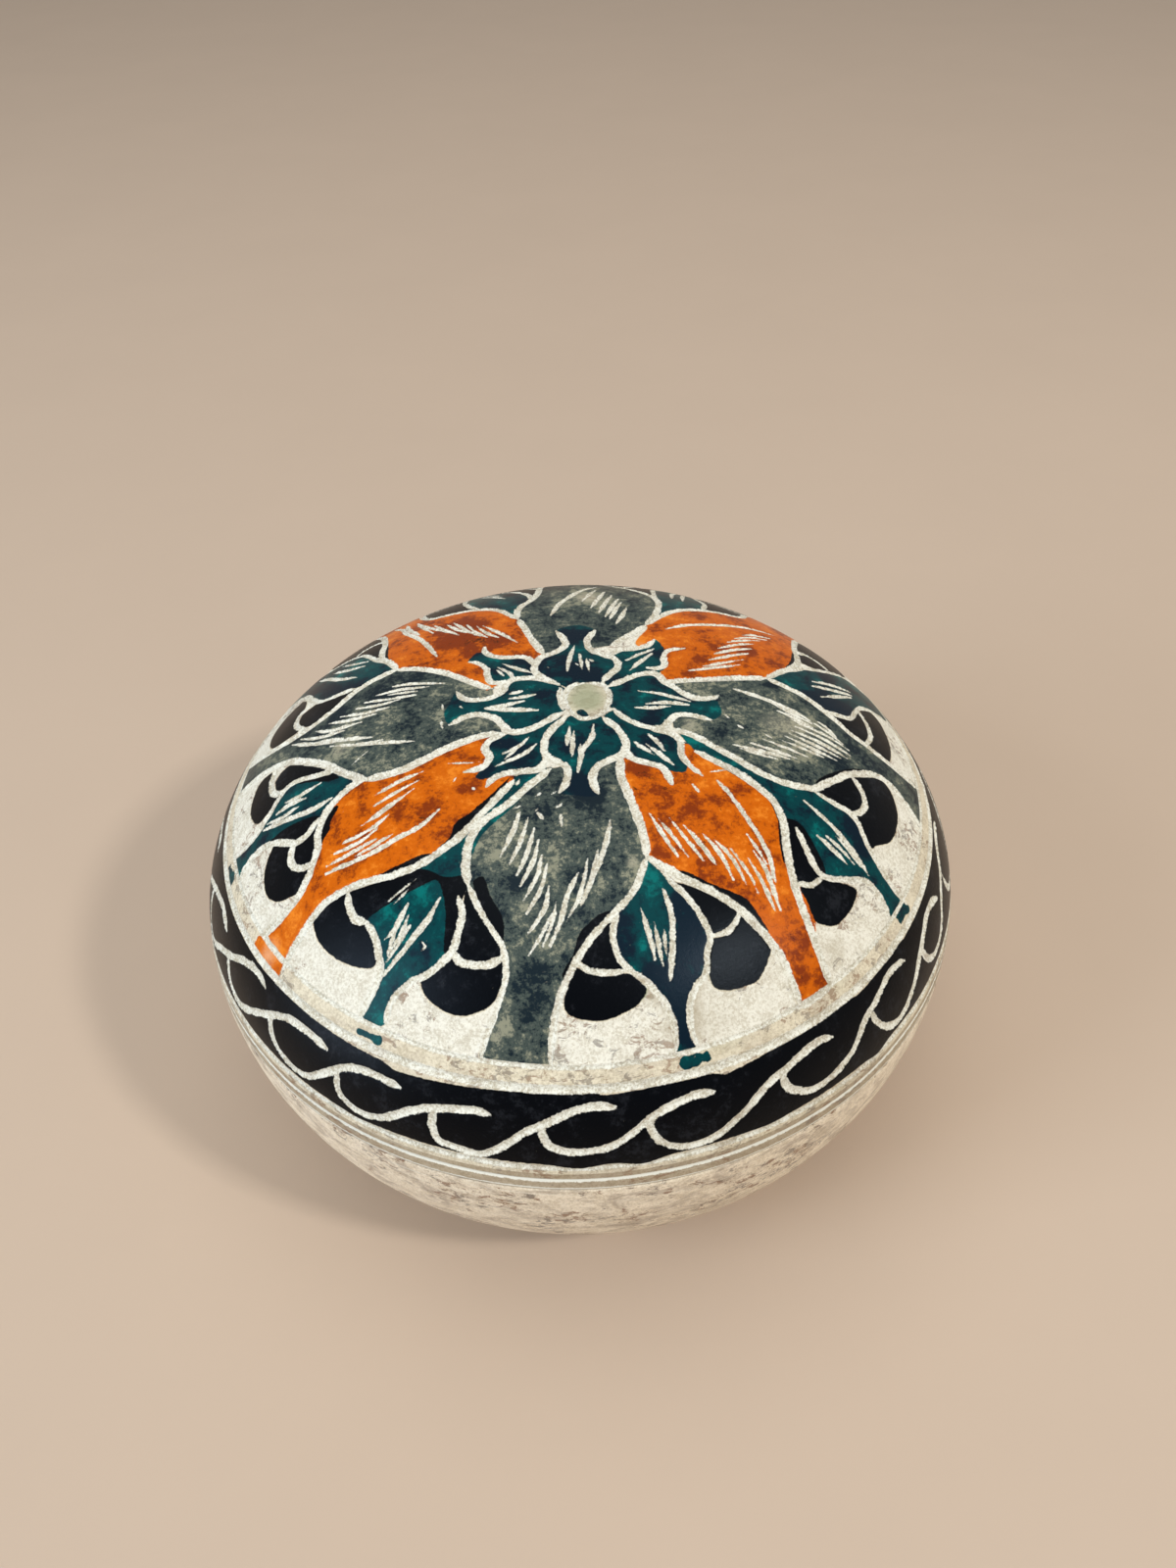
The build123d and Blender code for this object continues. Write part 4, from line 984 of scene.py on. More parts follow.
def dome_skin(name, s_line, angle_line, make_fields, settings, whole=False):
    """Closed skin on the dome: a grid over distance and angle, sunk by the carving, with walls and underside.

    The grid's border is repeated below the surface and closed there with a fan about one middle point.
    A whole skin runs all the way round and starts at the top of the dome with a single point.
    """
    s, angle = np.meshgrid(s_line, angle_line, indexing="ij")
    tilt = tilt_at(s)

    def place(depth):
        r, z = dome_point(tilt, depth)
        return np.stack([r * np.cos(angle), r * np.sin(angle), z], axis=-1)

    base = place(0.0)
    fields = make_fields(s, angle, base)
    top = place(carved_depth(fields, base, settings))
    under = place(SKIN_SINK)
    rows, columns = s.shape
    index = np.arange(rows * columns).reshape(rows, columns)
    if whole:
        faces = np.concatenate([index, index[:, :1]], axis=1)
        border = index[-1]
        u = 0.5 + ROUND_MAP * s * np.cos(angle) / s_line[-1]
        v = 0.5 + ROUND_MAP * s * np.sin(angle) / s_line[-1]
    else:
        faces = index
        border = np.concatenate([index[:, 0], index[-1, 1:], index[-2::-1, -1], index[0, -2:0:-1]])
        u = SKIN_MARGIN + (1 - 2 * SKIN_MARGIN) * (angle - angle_line[0]) / (angle_line[-1] - angle_line[0])
        v = SKIN_MARGIN + (1 - 2 * SKIN_MARGIN) * (s - s_line[0]) / (s_line[-1] - s_line[0])
    quads = grid_faces(faces, turned=True)
    total = rows * columns
    count = len(border)
    low = total + np.arange(count)
    following = np.roll(np.arange(count), -1)
    walls = np.stack([border, low, low[following], border[following]], axis=1)
    middle = under[0].mean(0) if whole else under[rows // 2, columns // 2]
    fan = np.stack([low[following], low, np.full(count, total + count)], axis=1)
    points = [top.reshape(-1, 3), under.reshape(-1, 3)[border], middle[None]]
    triangles = [fan]
    extra = list(border) + [index[rows // 2, columns // 2]]
    if whole:
        # one point at the top of the dome closes the first ring
        points.append(top[0].mean(0)[None])
        pole = total + count + 1
        triangles.append(np.stack([index[0], np.roll(index[0], -1), np.full(columns, pole)], axis=1))
        extra.append(index[0, 0])
    values, chart = repeat_points(fields, u, v, extra)
    sharp = np.zeros(len(chart), bool)
    sharp[border] = True
    sharp[low] = True
    quads = np.concatenate([quads, walls])
    return put_mesh(name, np.concatenate(points), quads, np.concatenate(triangles), values, chart, sharp)


def turned_piece(name, profile, columns, shape_fields):
    """Closed solid of revolution: a profile from the axis back to the axis, turned, each row a full ring.

    The profile runs up the outside. shape_fields gives how far each point moves inwards along its normal,
    in millimetres, and the fields. Rows where the profile turns by more than CREASE get a sharp edge.
    """
    ends = profile[[0, -1]]
    rows = profile[1:-1]
    steps = np.diff(rows, axis=0)
    along = np.concatenate([[0], np.cumsum(np.hypot(steps[:, 0], steps[:, 1]))])
    heading = np.unwrap(np.arctan2(steps[:, 1], steps[:, 0]))
    corner = np.zeros(len(rows), bool)
    corner[1:-1] = np.abs(np.diff(heading)) > CREASE
    slope = np.gradient(rows, along, axis=0)
    slope /= np.hypot(slope[:, 0], slope[:, 1])[:, None]
    angle = np.linspace(0, 2 * math.pi, columns, endpoint=False)[None, :]
    r = rows[:, :1] * np.ones_like(angle)
    z = rows[:, 1:] * np.ones_like(angle)
    base = np.stack([r * np.cos(angle), r * np.sin(angle), z], axis=-1)
    depth, fields = shape_fields(base)
    r = r - depth * slope[:, 1:]
    z = z + depth * slope[:, :1]
    grid = np.stack([r * np.cos(angle), r * np.sin(angle), z], axis=-1)
    count = len(rows)
    index = np.arange(count * columns).reshape(count, columns)
    wrapped = np.concatenate([index, index[:, :1]], axis=1)
    quads = grid_faces(wrapped)
    first = count * columns
    poles = np.array([[0, 0, ends[0, 1]], [0, 0, ends[1, 1]]])
    fans = np.concatenate([
        np.stack([np.roll(index[0], -1), index[0], np.full(columns, first)], axis=1),
        np.stack([index[-1], np.roll(index[-1], -1), np.full(columns, first + 1)], axis=1),
    ])
    u = TURNED_MARGIN + (1 - 2 * TURNED_MARGIN) * angle / (2 * math.pi) * np.ones_like(r)
    v = TURNED_MARGIN + (1 - 2 * TURNED_MARGIN) * (along / along[-1])[:, None] * np.ones_like(r)
    values, chart = repeat_points(fields, u, v, [index[0, 0], index[-1, 0]])
    sharp = np.append(np.repeat(corner, columns), [False, False])
    points = np.concatenate([grid.reshape(-1, 3), poles])
    return put_mesh(name, points, quads, fans, values, chart, sharp)


def put_node(tree, kind, inputs=(), **settings):
    """Adds a node, sets its properties and fills its inputs with values or with other nodes' outputs."""
    made = tree.nodes.new(kind)
    for key, value in settings.items():
        setattr(made, key, value)
    for key, value in dict(inputs).items():
        socket = made.inputs[key]
        if isinstance(value, bpy.types.NodeSocket):
            tree.links.new(value, socket)
        elif socket.type == "RGBA":
            socket.default_value = (*value, 1) if len(value) == 3 else value
        else:
            socket.default_value = value
    return made


def math_node(tree, operation, *values):
    """One Math node on the given values or outputs."""
    return put_node(tree, "ShaderNodeMath", enumerate(values), operation=operation).outputs[0]


def times(tree, first, second):
    """One Math node that multiplies."""
    return math_node(tree, "MULTIPLY", first, second)


def minus(tree, first, second):
    """One Math node that subtracts the second from the first."""
    return math_node(tree, "SUBTRACT", first, second)


def spread(tree, value, low, high, to_low=0.0, to_high=1.0):
    """Maps a value from one range to another, eased and clamped."""
    inputs = {"Value": value, "From Min": low, "From Max": high, "To Min": to_low, "To Max": to_high}
    return put_node(tree, "ShaderNodeMapRange", inputs, interpolation_type="SMOOTHSTEP").outputs["Result"]


def blend(tree, amount, first, second, kind="MIX"):
    """Mixes two colours."""
    inputs = {0: amount, 6: first, 7: second}
    return put_node(tree, "ShaderNodeMix", inputs, data_type="RGBA", blend_type=kind).outputs[2]


def speckle(tree, place, scale, detail=2.0, roughness=0.5, distortion=0.0):
    """Noise about 0.5 at a place given in millimetres."""
    inputs = {"Vector": place, "Scale": scale, "Detail": detail, "Roughness": roughness,
              "Distortion": distortion}
    return put_node(tree, "ShaderNodeTexNoise", inputs).outputs["Fac"]


def start_group(name, ins, outs):
    """Starts a node group with the given sockets, and returns it with what it is given and what it gives."""
    group = bpy.data.node_groups.new(name, "ShaderNodeTree")
    for label, kind, value in ins:
        socket = group.interface.new_socket(name=label, in_out="INPUT", socket_type="NodeSocket" + kind)
        if value is not None:
            socket.default_value = value
    for label, kind in outs:
        group.interface.new_socket(name=label, in_out="OUTPUT", socket_type="NodeSocket" + kind)
    return group, group.nodes.new("NodeGroupInput").outputs, group.nodes.new("NodeGroupOutput").inputs


def soft_edge_group():
    """Node group: how much of a finish shows, from its signed distance, with a ragged edge and worn spots."""
    group, given, out = start_group(
        "soft_edge",
        (("Place", "Vector", None), ("Distance", "Float", 0.0), ("Ragged", "Float", 0.1),
         ("Softness", "Float", 0.08), ("Wear", "Float", 0.0)),
        (("Amount", "Float"),),
    )
    # the distance shifted by noise in two sizes, each about zero
    coarse = speckle(group, given["Place"], 1.3, 2)
    fine = speckle(group, given["Place"], 4.5, 2)
    shift = math_node(group, "ADD", minus(group, coarse, 0.5), minus(group, fine, 0.5))
    ragged = math_node(group, "MULTIPLY_ADD", shift, times(group, given["Ragged"], 2.2), given["Distance"])
    shown = spread(group, ragged, given["Softness"], times(group, given["Softness"], -1.0))
    # spots worn off, more of them with more wear
    flake = speckle(group, given["Place"], 2.1, 4, 0.65)
    limit = minus(group, 0.76, times(group, given["Wear"], 0.2))
    above = math_node(group, "ADD", limit, 0.05)
    worn = spread(group, flake, limit, above)
    kept = minus(group, 1.0, times(group, worn, given["Wear"]))
    group.links.new(times(group, shown, kept), out["Amount"])
    return group


# Fine grain of the stone, as factors on its colour, and the colours of its clouds and flecks
GRIT_DARKER = (0.6, 0.54, 0.44)
GRIT_LIGHTER = (1.12, 1.13, 1.14)
CLOUD_BROWN = (0.27, 0.205, 0.16)
FLECK_RUST = (0.2, 0.085, 0.035)
FLECK_UMBER = (0.15, 0.12, 0.1)
# How the clouds and flecks lie in the stone: turn about x, y and z in radians, and how drawn out along each
BEDDING_TILT = (0.5, 0.35, 0.5)
BEDDING_SCALE = (0.22, 0.3, 0.42)


def stone_group():
    """Node group: soapstone colour with fine grain, and with brown clouds and flecks drawn out aslant."""
    group, given, out = start_group(
        "soapstone",
        (("Place", "Vector", None), ("Tint", "Color", (0.6, 0.5, 0.35, 1)), ("Flecks", "Float", 0.5),
         ("Clouds", "Float", 0.5), ("Grit", "Float", 0.6)),
        (("Color", "Color"), ("Height", "Float"), ("Vein", "Float")),
    )
    place = given["Place"]
    mottle = speckle(group, place, 0.5, 4, 0.65)
    grit = speckle(group, place, 2.6, 4, 0.8)
    shaded = blend(group, 1.0, given["Tint"], GRIT_DARKER, "MULTIPLY")
    lit = blend(group, 1.0, given["Tint"], GRIT_LIGHTER, "MULTIPLY")
    patch = math_node(group, "MULTIPLY_ADD", grit, 1.1, times(group, mottle, 0.5))
    amount = times(group, spread(group, patch, 0.68, 0.96), given["Grit"])
    base = blend(group, amount, lit, shaded)
    aslant = {"Vector": place, "Rotation": BEDDING_TILT, "Scale": BEDDING_SCALE}
    sheets = put_node(group, "ShaderNodeMapping", aslant, vector_type="POINT").outputs["Vector"]
    cloud = spread(group, speckle(group, sheets, 0.75, 6, 0.7, 0.9), 0.44, 0.66)
    clouded = blend(group, times(group, times(group, cloud, 0.52), given["Clouds"]), base, CLOUD_BROWN)
    # flecks come in patches, where the gate lowers the noise's threshold
    streak = speckle(group, sheets, 2.6, 6, 0.74, 0.7)
    gate = spread(group, speckle(group, place, 0.12, 2), 0.4, 0.6, 0.0, 0.15)
    start = minus(group, 0.655, gate)
    fleck = spread(group, streak, start, math_node(group, "ADD", start, 0.05))
    vein = times(group, fleck, given["Flecks"])
    tone = blend(group, spread(group, speckle(group, place, 0.3, 2), 0.42, 0.58), FLECK_RUST, FLECK_UMBER)
    flecked = blend(group, times(group, vein, 0.68), clouded, tone)
    group.links.new(flecked, out["Color"])
    group.links.new(math_node(group, "MULTIPLY_ADD", mottle, 0.3, grit), out["Height"])
    group.links.new(vein, out["Vein"])
    return group


def scratch_group():
    """Node group: fine turning marks and stray scratches that run round the axis."""
    group, given, out = start_group(
        "turning_marks", (("Place", "Vector", None),), (("Marks", "Float"), ("Scratches", "Float"))
    )
    parts = put_node(group, "ShaderNodeSeparateXYZ", {"Vector": given["Place"]}).outputs
    squares = math_node(group, "ADD", times(group, parts[0], parts[0]), times(group, parts[1], parts[1]))
    radius = math_node(group, "SQRT", squares)
    turn = math_node(group, "ARCTAN2", parts[1], parts[0])
    profile = put_node(group, "ShaderNodeCombineXYZ", {"X": radius, "Y": parts[2], "Z": 0.0}).outputs[0]
    marks = speckle(group, profile, 1.9, 3, 0.6)
    # scratches are long round the axis and narrow across it
    band = put_node(group, "ShaderNodeCombineXYZ", {
        "X": times(group, radius, 3.0),
        "Y": times(group, parts[2], 3.0),
        "Z": times(group, turn, 2.2),
    }).outputs[0]
    group.links.new(marks, out["Marks"])
    group.links.new(spread(group, speckle(group, band, 1.0, 2, 0.5), 0.66, 0.7), out["Scratches"])
    return group


# Spots in the stain, as a factor on its dark colour
SPOT_DARKER = (0.25, 0.4, 0.6)


def paint_group():
    """Node group: stain that lets the stone's mottle through, darker where shade is high, with flecks."""
    group, given, out = start_group(
        "stain",
        (("Place", "Vector", None), ("Shade", "Float", 0.0), ("Mottle", "Float", 0.5),
         ("Flecks", "Float", 0.0), ("Dark", "Color", (0, 0, 0, 1)), ("Middle", "Color", (0.5, 0.5, 0.5, 1)),
         ("Light", "Color", (1, 1, 1, 1))),
        (("Color", "Color"),),
    )
    place = given["Place"]
    cloud = minus(group, speckle(group, place, 0.26, 4, 0.6), 0.5)
    fine = minus(group, speckle(group, place, 1.25, 5, 0.8), 0.5)
    level = math_node(group, "MULTIPLY_ADD", fine, given["Mottle"], cloud)
    level = minus(group, level, times(group, given["Shade"], 0.26))
    deep = spread(group, level, 0.01, -0.19)
    pale = spread(group, level, 0.03, 0.24)
    tone = blend(group, deep, given["Middle"], given["Dark"])
    tone = blend(group, pale, tone, given["Light"])
    spots = speckle(group, place, 0.62, 5, 0.78, 0.8)
    start = minus(group, 0.62, times(group, given["Shade"], 0.09))
    spot = spread(group, spots, start, math_node(group, "ADD", start, 0.09))
    darkest = blend(group, 1.0, given["Dark"], SPOT_DARKER, "MULTIPLY")
    amount = times(group, spot, given["Flecks"])
    group.links.new(blend(group, amount, tone, darkest), out["Color"])
    return group


def put_group(tree, group, **inputs):
    """Places a node group in a material, its inputs named by keyword."""
    return put_node(tree, "ShaderNodeGroup", inputs, node_tree=group).outputs


def start_material(name):
    """New node material with its shader and its coordinates in millimetres."""
    material = bpy.data.materials.new(name)
    material.use_nodes = True
    tree = material.node_tree
    shader = tree.nodes["Principled BSDF"]
    raw = put_node(tree, "ShaderNodeTexCoord").outputs["Object"]
    place = put_node(tree, "ShaderNodeVectorMath", {0: raw, 1: (PER_METRE,) * 3}, operation="MULTIPLY")
    return material, tree, shader, place.outputs[0]


def own_value(tree, name):
    """Reads one of the mesh's own point values."""
    return put_node(tree, "ShaderNodeAttribute", attribute_name=name).outputs["Fac"]


def blend_value(tree, amount, first, second):
    """Mixes two numbers."""
    return put_node(tree, "ShaderNodeMix", {0: amount, 2: first, 3: second}, data_type="FLOAT").outputs[0]


def edge_of(tree, groups, place, field, ragged, softness, wear=0.0):
    """How much of a finish shows, from the mesh's own signed distance to it."""
    return put_group(tree, groups["edge"], Place=place, Distance=own_value(tree, field), Ragged=ragged,
                     Softness=softness, Wear=wear)["Amount"]


def finish_stone(tree, shader, color, rough, height, strength):
    """Joins colour and roughness to the shader, and height as a bump in its surface."""
    tree.links.new(color, shader.inputs["Base Color"])
    tree.links.new(rough, shader.inputs["Roughness"])
    bump = put_node(tree, "ShaderNodeBump", {"Height": height, "Strength": strength, "Distance": BUMP_HEIGHT})
    tree.links.new(bump.outputs["Normal"], shader.inputs["Normal"])


# Roughness of each surface
WAXED_ROUGHNESS = 0.5
VEIN_ROUGHNESS = 0.38
SCRAPED_ROUGHNESS = 0.8
CUT_ROUGHNESS = 0.85
# Strength of the plain gloss, which is bluish on the painted stone
PAINTED_SPECULAR = 0.1
PAINTED_SPECULAR_TINT = (0.7, 0.84, 1, 1)
TURNED_SPECULAR = 0.25
# Height in metres of the finest grain, which is bump and not mesh, and its strengths
BUMP_HEIGHT = 0.00012
PAINTED_BUMP = 0.9
TURNED_BUMP = 0.45
# How much of a scratch shows pale stone, and how much of a turning mark shows dirt
SCRATCH_SHARE = 0.5
DIRT_SHARE = 0.16
# Raggedness and softness, in millimetres, of the edges of scraped ground, paint and carved lines
GROUND_EDGE = (0.14, 0.12)
PAINT_EDGE = (0.12, 0.07)
CUT_EDGE = (0.15, 0.07)


def painted_stone(looks, groups):
    """Material of the carved and painted skins, from their own distances to each paint and to the carving."""
    material, tree, shader, place = start_material("carved_and_painted")
    # tint, flecks, clouds and grit of the waxed, the scraped and the freshly cut stone
    stones = (
        (looks.waxed_stone, 0.9, 0.5, 0.6),
        (looks.scraped_stone, 0.9, 0.1, 0.6),
        (looks.cut_stone, 0.3, 0.1, 0.9),
    )
    stone, scraped, fresh = [
        put_group(tree, groups["stone"], Place=place, Tint=base, Flecks=flecks, Clouds=clouds, Grit=grit)
        for base, flecks, clouds, grit in stones
    ]
    shade = own_value(tree, "shade")
    # paint covers less where shade is very low, and plain stone is darker where it is high
    cover = spread(tree, shade, -1.0, -0.45, 0.5, 1.0)
    button = times(tree, spread(tree, shade, 0.1, 0.8), 0.85)
    plain = blend(tree, button, stone["Color"], looks.handled_stone)
    # the ground is scraped where its field is positive, and darker, towards the dirt setting's colour, where
    # shade is high
    kept = edge_of(tree, groups, place, "ground", *GROUND_EDGE)
    bare = minus(tree, 1.0, kept)
    ground_darkening = times(tree, spread(tree, shade, 0.15, 1.2), 0.6)
    color = blend(tree, bare, plain, blend(tree, ground_darkening, scraped["Color"], looks.dirt))
    rough = blend_value(tree, bare, WAXED_ROUGHNESS, SCRAPED_ROUGHNESS)
    # field, three colours, mottle, flecks, roughness and wear of each paint
    paints = (
        ("teal", looks.teal_dark, looks.teal, looks.teal_light, 0.5, 0.15, 0.3, 0.3),
        ("grey", looks.grey_dark, looks.grey, looks.grey_light, 1.2, 0.5, 0.34, 0.3),
        ("orange", looks.orange_dark, looks.orange, looks.orange_light, 0.7, 0.9, 0.32, 0.25),
        ("black", looks.black, looks.black, looks.black_light, 0.9, 0.0, 0.3, 0.2),
    )
    for name, dark, middle, light, mottle, flecks, paint_rough, wear in paints:
        paint = put_group(tree, groups["paint"], Place=place, Shade=shade, Dark=dark, Middle=middle,
                          Light=light, Mottle=mottle, Flecks=flecks)
        amount = edge_of(tree, groups, place, name, *PAINT_EDGE, wear)
        rough = blend_value(tree, amount, rough, paint_rough)
        amount = times(tree, amount, cover)
        color = blend(tree, amount, color, paint["Color"])
    carved = edge_of(tree, groups, place, "cut", *CUT_EDGE)
    color = blend(tree, carved, color, fresh["Color"])
    rough = blend_value(tree, carved, rough, CUT_ROUGHNESS)
    shader.inputs["Specular IOR Level"].default_value = PAINTED_SPECULAR
    shader.inputs["Specular Tint"].default_value = PAINTED_SPECULAR_TINT
    fuzz = math_node(tree, "MAXIMUM", carved, bare)
    height = times(tree, stone["Height"], blend_value(tree, fuzz, 0.3, 1.0))
    finish_stone(tree, shader, color, rough, height, PAINTED_BUMP)
    return material


def turned_stone(name, looks, groups, base, flecks, clouds, rings):
    """Material of bare turned stone. With rings, paler stone shows where the mesh's cut value is below 0."""
    material, tree, shader, place = start_material(name)
    stone = put_group(tree, groups["stone"], Place=place, Tint=base, Flecks=flecks, Clouds=clouds)
    marks = put_group(tree, groups["scratch"], Place=place)
    color = blend(tree, times(tree, marks["Scratches"], SCRATCH_SHARE), stone["Color"], looks.cut_stone)
    toned = spread(tree, marks["Marks"], 0.42, 0.7)
    color = blend(tree, times(tree, toned, DIRT_SHARE), color, looks.dirt)
    rough = blend_value(tree, stone["Vein"], WAXED_ROUGHNESS, VEIN_ROUGHNESS)
    if rings:
        carved = edge_of(tree, groups, place, "cut", *CUT_EDGE)
        color = blend(tree, carved, color, looks.cut_stone)
        rough = blend_value(tree, carved, rough, CUT_ROUGHNESS)
    shader.inputs["Specular IOR Level"].default_value = TURNED_SPECULAR
    height = math_node(tree, "MULTIPLY_ADD", marks["Marks"], 0.7, times(tree, stone["Height"], 0.4))
    finish_stone(tree, shader, color, rough, height, TURNED_BUMP)
    return material


def shared_groups():
    """The node groups, made once and used by every material."""
    makers = {"edge": ("soft_edge", soft_edge_group), "stone": ("soapstone", stone_group),
              "scratch": ("turning_marks", scratch_group), "paint": ("stain", paint_group)}
    return {key: bpy.data.node_groups.get(name) or make() for key, (name, make) in makers.items()}


def get_material(name):
    """One of the three materials by name, made the first time it is asked for."""
    ready = bpy.data.materials.get(name)
    if ready:
        return ready
    looks = bpy.context.scene.soapstone_looks
    groups = shared_groups()
    if name == "carved_and_painted":
        return painted_stone(looks, groups)
    if name == "waxed_stone":
        return turned_stone(name, looks, groups, looks.rim_stone, flecks=0.9, clouds=0.5, rings=True)
    return turned_stone(name, looks, groups, looks.bowl_stone, flecks=1.2, clouds=1.15, rings=False)


def tint(name, value, description):
    """A colour setting in linear values."""
    return FloatVectorProperty(name=name, description=description, default=value, size=3, subtype="COLOR",
                               min=0.0, max=1.0)


def length(name, value, description):
    """A length setting in millimetres."""
    return FloatProperty(name=name, description=description, default=value, min=0.0, soft_max=5.0)


def number(name, value, description):
    """A count setting."""
    return IntProperty(name=name, description=description, default=value, min=8)


def watts(name, value, description):
    """A light's power."""
    return FloatProperty(name=name, description=description, default=value, min=0.0, unit="POWER")


class SoapstoneCarving(bpy.types.PropertyGroup):
    """Depths of the carving and fineness of the surfaces."""

    cut_depth: length("Cut depth", 0.28, "Depth of a carved line below the paint, in millimetres")
    ground_depth: length("Ground depth", 0.22, "Depth of the scraped ground round the petals, in millimetres")
    roughness_depth: length("Roughness", 0.035, "Height of the chatter left by the knife, in millimetres")
    field_columns: number("Field columns", 230, "Points across one eighth of the flower field")
    field_rows: number("Field rows", 210, "Points down the flower field")
    rosette_columns: number("Rosette columns", 640, "Points round the small flower")
    rosette_rows: number("Rosette rows", 110, "Points from the top to the edge of the small flower")
    band_columns: number("Band columns", 520, "Points along one quarter of the band")
    band_rows: number("Band rows", 70, "Points down the band")
    turned_columns: number("Turned columns", 720, "Points round the turned bowl and lid")


class SoapstoneLooks(bpy.types.PropertyGroup):
    """Colours, as linear values, and lights."""

    waxed_stone: tint("Waxed stone", (0.69, 0.625, 0.48), "Smooth stone of the lid's plain strips")
    handled_stone: tint("Handled stone", (0.33, 0.345, 0.22), "Stone darkened by hands, on the button")
    rim_stone: tint("Rim stone", (0.43, 0.36, 0.257), "Handled stone of the lid's rim")
    bowl_stone: tint("Bowl stone", (0.83, 0.735, 0.585), "Polished bare stone of the bowl")
    cut_stone: tint("Cut stone", (0.76, 0.75, 0.66), "Fresh stone in the carved lines")
    dirt: tint("Dirt", (0.36, 0.29, 0.18), "Dirt caught in the turning marks")
    scraped_stone: tint("Scraped stone", (0.765, 0.74, 0.64), "Scraped ground between the petals")
    orange: tint("Orange", (0.58, 0.115, 0.0), "Orange paint")
    orange_dark: tint("Dark orange", (0.22, 0.032, 0.001), "Orange paint where it lies thick")
    orange_light: tint("Light orange", (0.78, 0.22, 0.014), "Orange paint where it lies thin")
    grey: tint("Grey", (0.062, 0.08, 0.07), "Olive-grey paint")
    grey_dark: tint("Dark grey", (0.008, 0.016, 0.022), "Olive-grey paint where it lies thick")
    grey_light: tint("Light grey", (0.26, 0.26, 0.185), "Olive-grey paint where it lies thin")
    teal: tint("Teal", (0.0, 0.042, 0.048), "Teal paint")
    teal_dark: tint("Dark teal", (0.002, 0.01, 0.02), "Teal paint where it lies thick")
    teal_light: tint("Light teal", (0.0, 0.14, 0.13), "Teal paint where it lies thin")
    black: tint("Black", (0.0005, 0.0007, 0.0016), "Black paint")
    black_light: tint("Worn black", (0.01, 0.011, 0.014), "Black paint where it is rubbed")
    floor: tint("Floor", (0.56, 0.44, 0.338), "Table top")
    key_power: watts("Key light", 3.3, "Power of the large warm light")
    window_power: watts("Window", 6.6, "Power of the cool light at the left")
    lamp_power: watts("Lamp", 4.1, "Power of the small light at the right")
    fill: FloatProperty(name="Fill", description="Strength of the even light from all round", default=0.46,
                        min=0.0)


def bowl_profile():
    """Half profile of the bowl, from the middle of the foot up the outside, over the lip and into the hollow.

    Each arc ends at the tilt at which it touches the next one, from the distances between their centres.
    The last value of each line and arc is the spacing of its points.
    """
    side = (SIDE_CENTRE, SEAM)
    foot_r = SIDE_CENTRE + math.sqrt((SIDE_RADIUS - FOOT_ROUND) ** 2 - (SEAM - FOOT_ROUND) ** 2)
    foot_tilt = math.atan2(foot_r - SIDE_CENTRE, FOOT_ROUND - SEAM)
    rim_r = SIDE_CENTRE + math.sqrt((SIDE_RADIUS - RIM_ROUND) ** 2 - RIM_ROUND**2)
    rim_tilt = math.atan2(rim_r - SIDE_CENTRE, -RIM_ROUND)
    hollow = SIDE_RADIUS - WALL
    low_r = SIDE_CENTRE + math.sqrt((hollow - FLOOR_ROUND) ** 2 - (SEAM - FLOOR - FLOOR_ROUND) ** 2)
    low_tilt = math.atan2(low_r - SIDE_CENTRE, FLOOR + FLOOR_ROUND - SEAM)
    lip_inner = WIDEST_RADIUS - WALL
    lip_top = SEAM + LIP_HEIGHT
    quarter = math.pi / 2
    return np.vstack([
        [(0, 0)],
        straight_line((0, 0), (foot_r, 0), 2.5),
        arc_line((foot_r, FOOT_ROUND), FOOT_ROUND, math.pi, foot_tilt, 0.2),
        arc_line(side, SIDE_RADIUS, foot_tilt, rim_tilt, 0.8)[1:],
        arc_line((rim_r, SEAM - RIM_ROUND), RIM_ROUND, rim_tilt, 0, 0.1)[1:],
        straight_line((rim_r, SEAM), (LIP_OUTER, SEAM), 1.2),
        [(LIP_OUTER, SEAM)],
        straight_line((LIP_OUTER, SEAM), (LIP_OUTER, lip_top - LIP_ROUND), 0.9),
        arc_line((LIP_OUTER - LIP_ROUND, lip_top - LIP_ROUND), LIP_ROUND, quarter, 0, 0.14),
        arc_line((lip_inner + LIP_ROUND, lip_top - LIP_ROUND), LIP_ROUND, 0, -quarter, 0.14),
        straight_line((lip_inner, lip_top - LIP_ROUND), (lip_inner, SEAM), 0.9),
        arc_line(side, hollow, quarter, low_tilt, 0.9),
        arc_line((low_r, FLOOR + FLOOR_ROUND), FLOOR_ROUND, low_tilt, math.pi, 0.4)[1:],
        straight_line((low_r, FLOOR), (0, FLOOR), 2.5),
        [(0, FLOOR)],
    ])


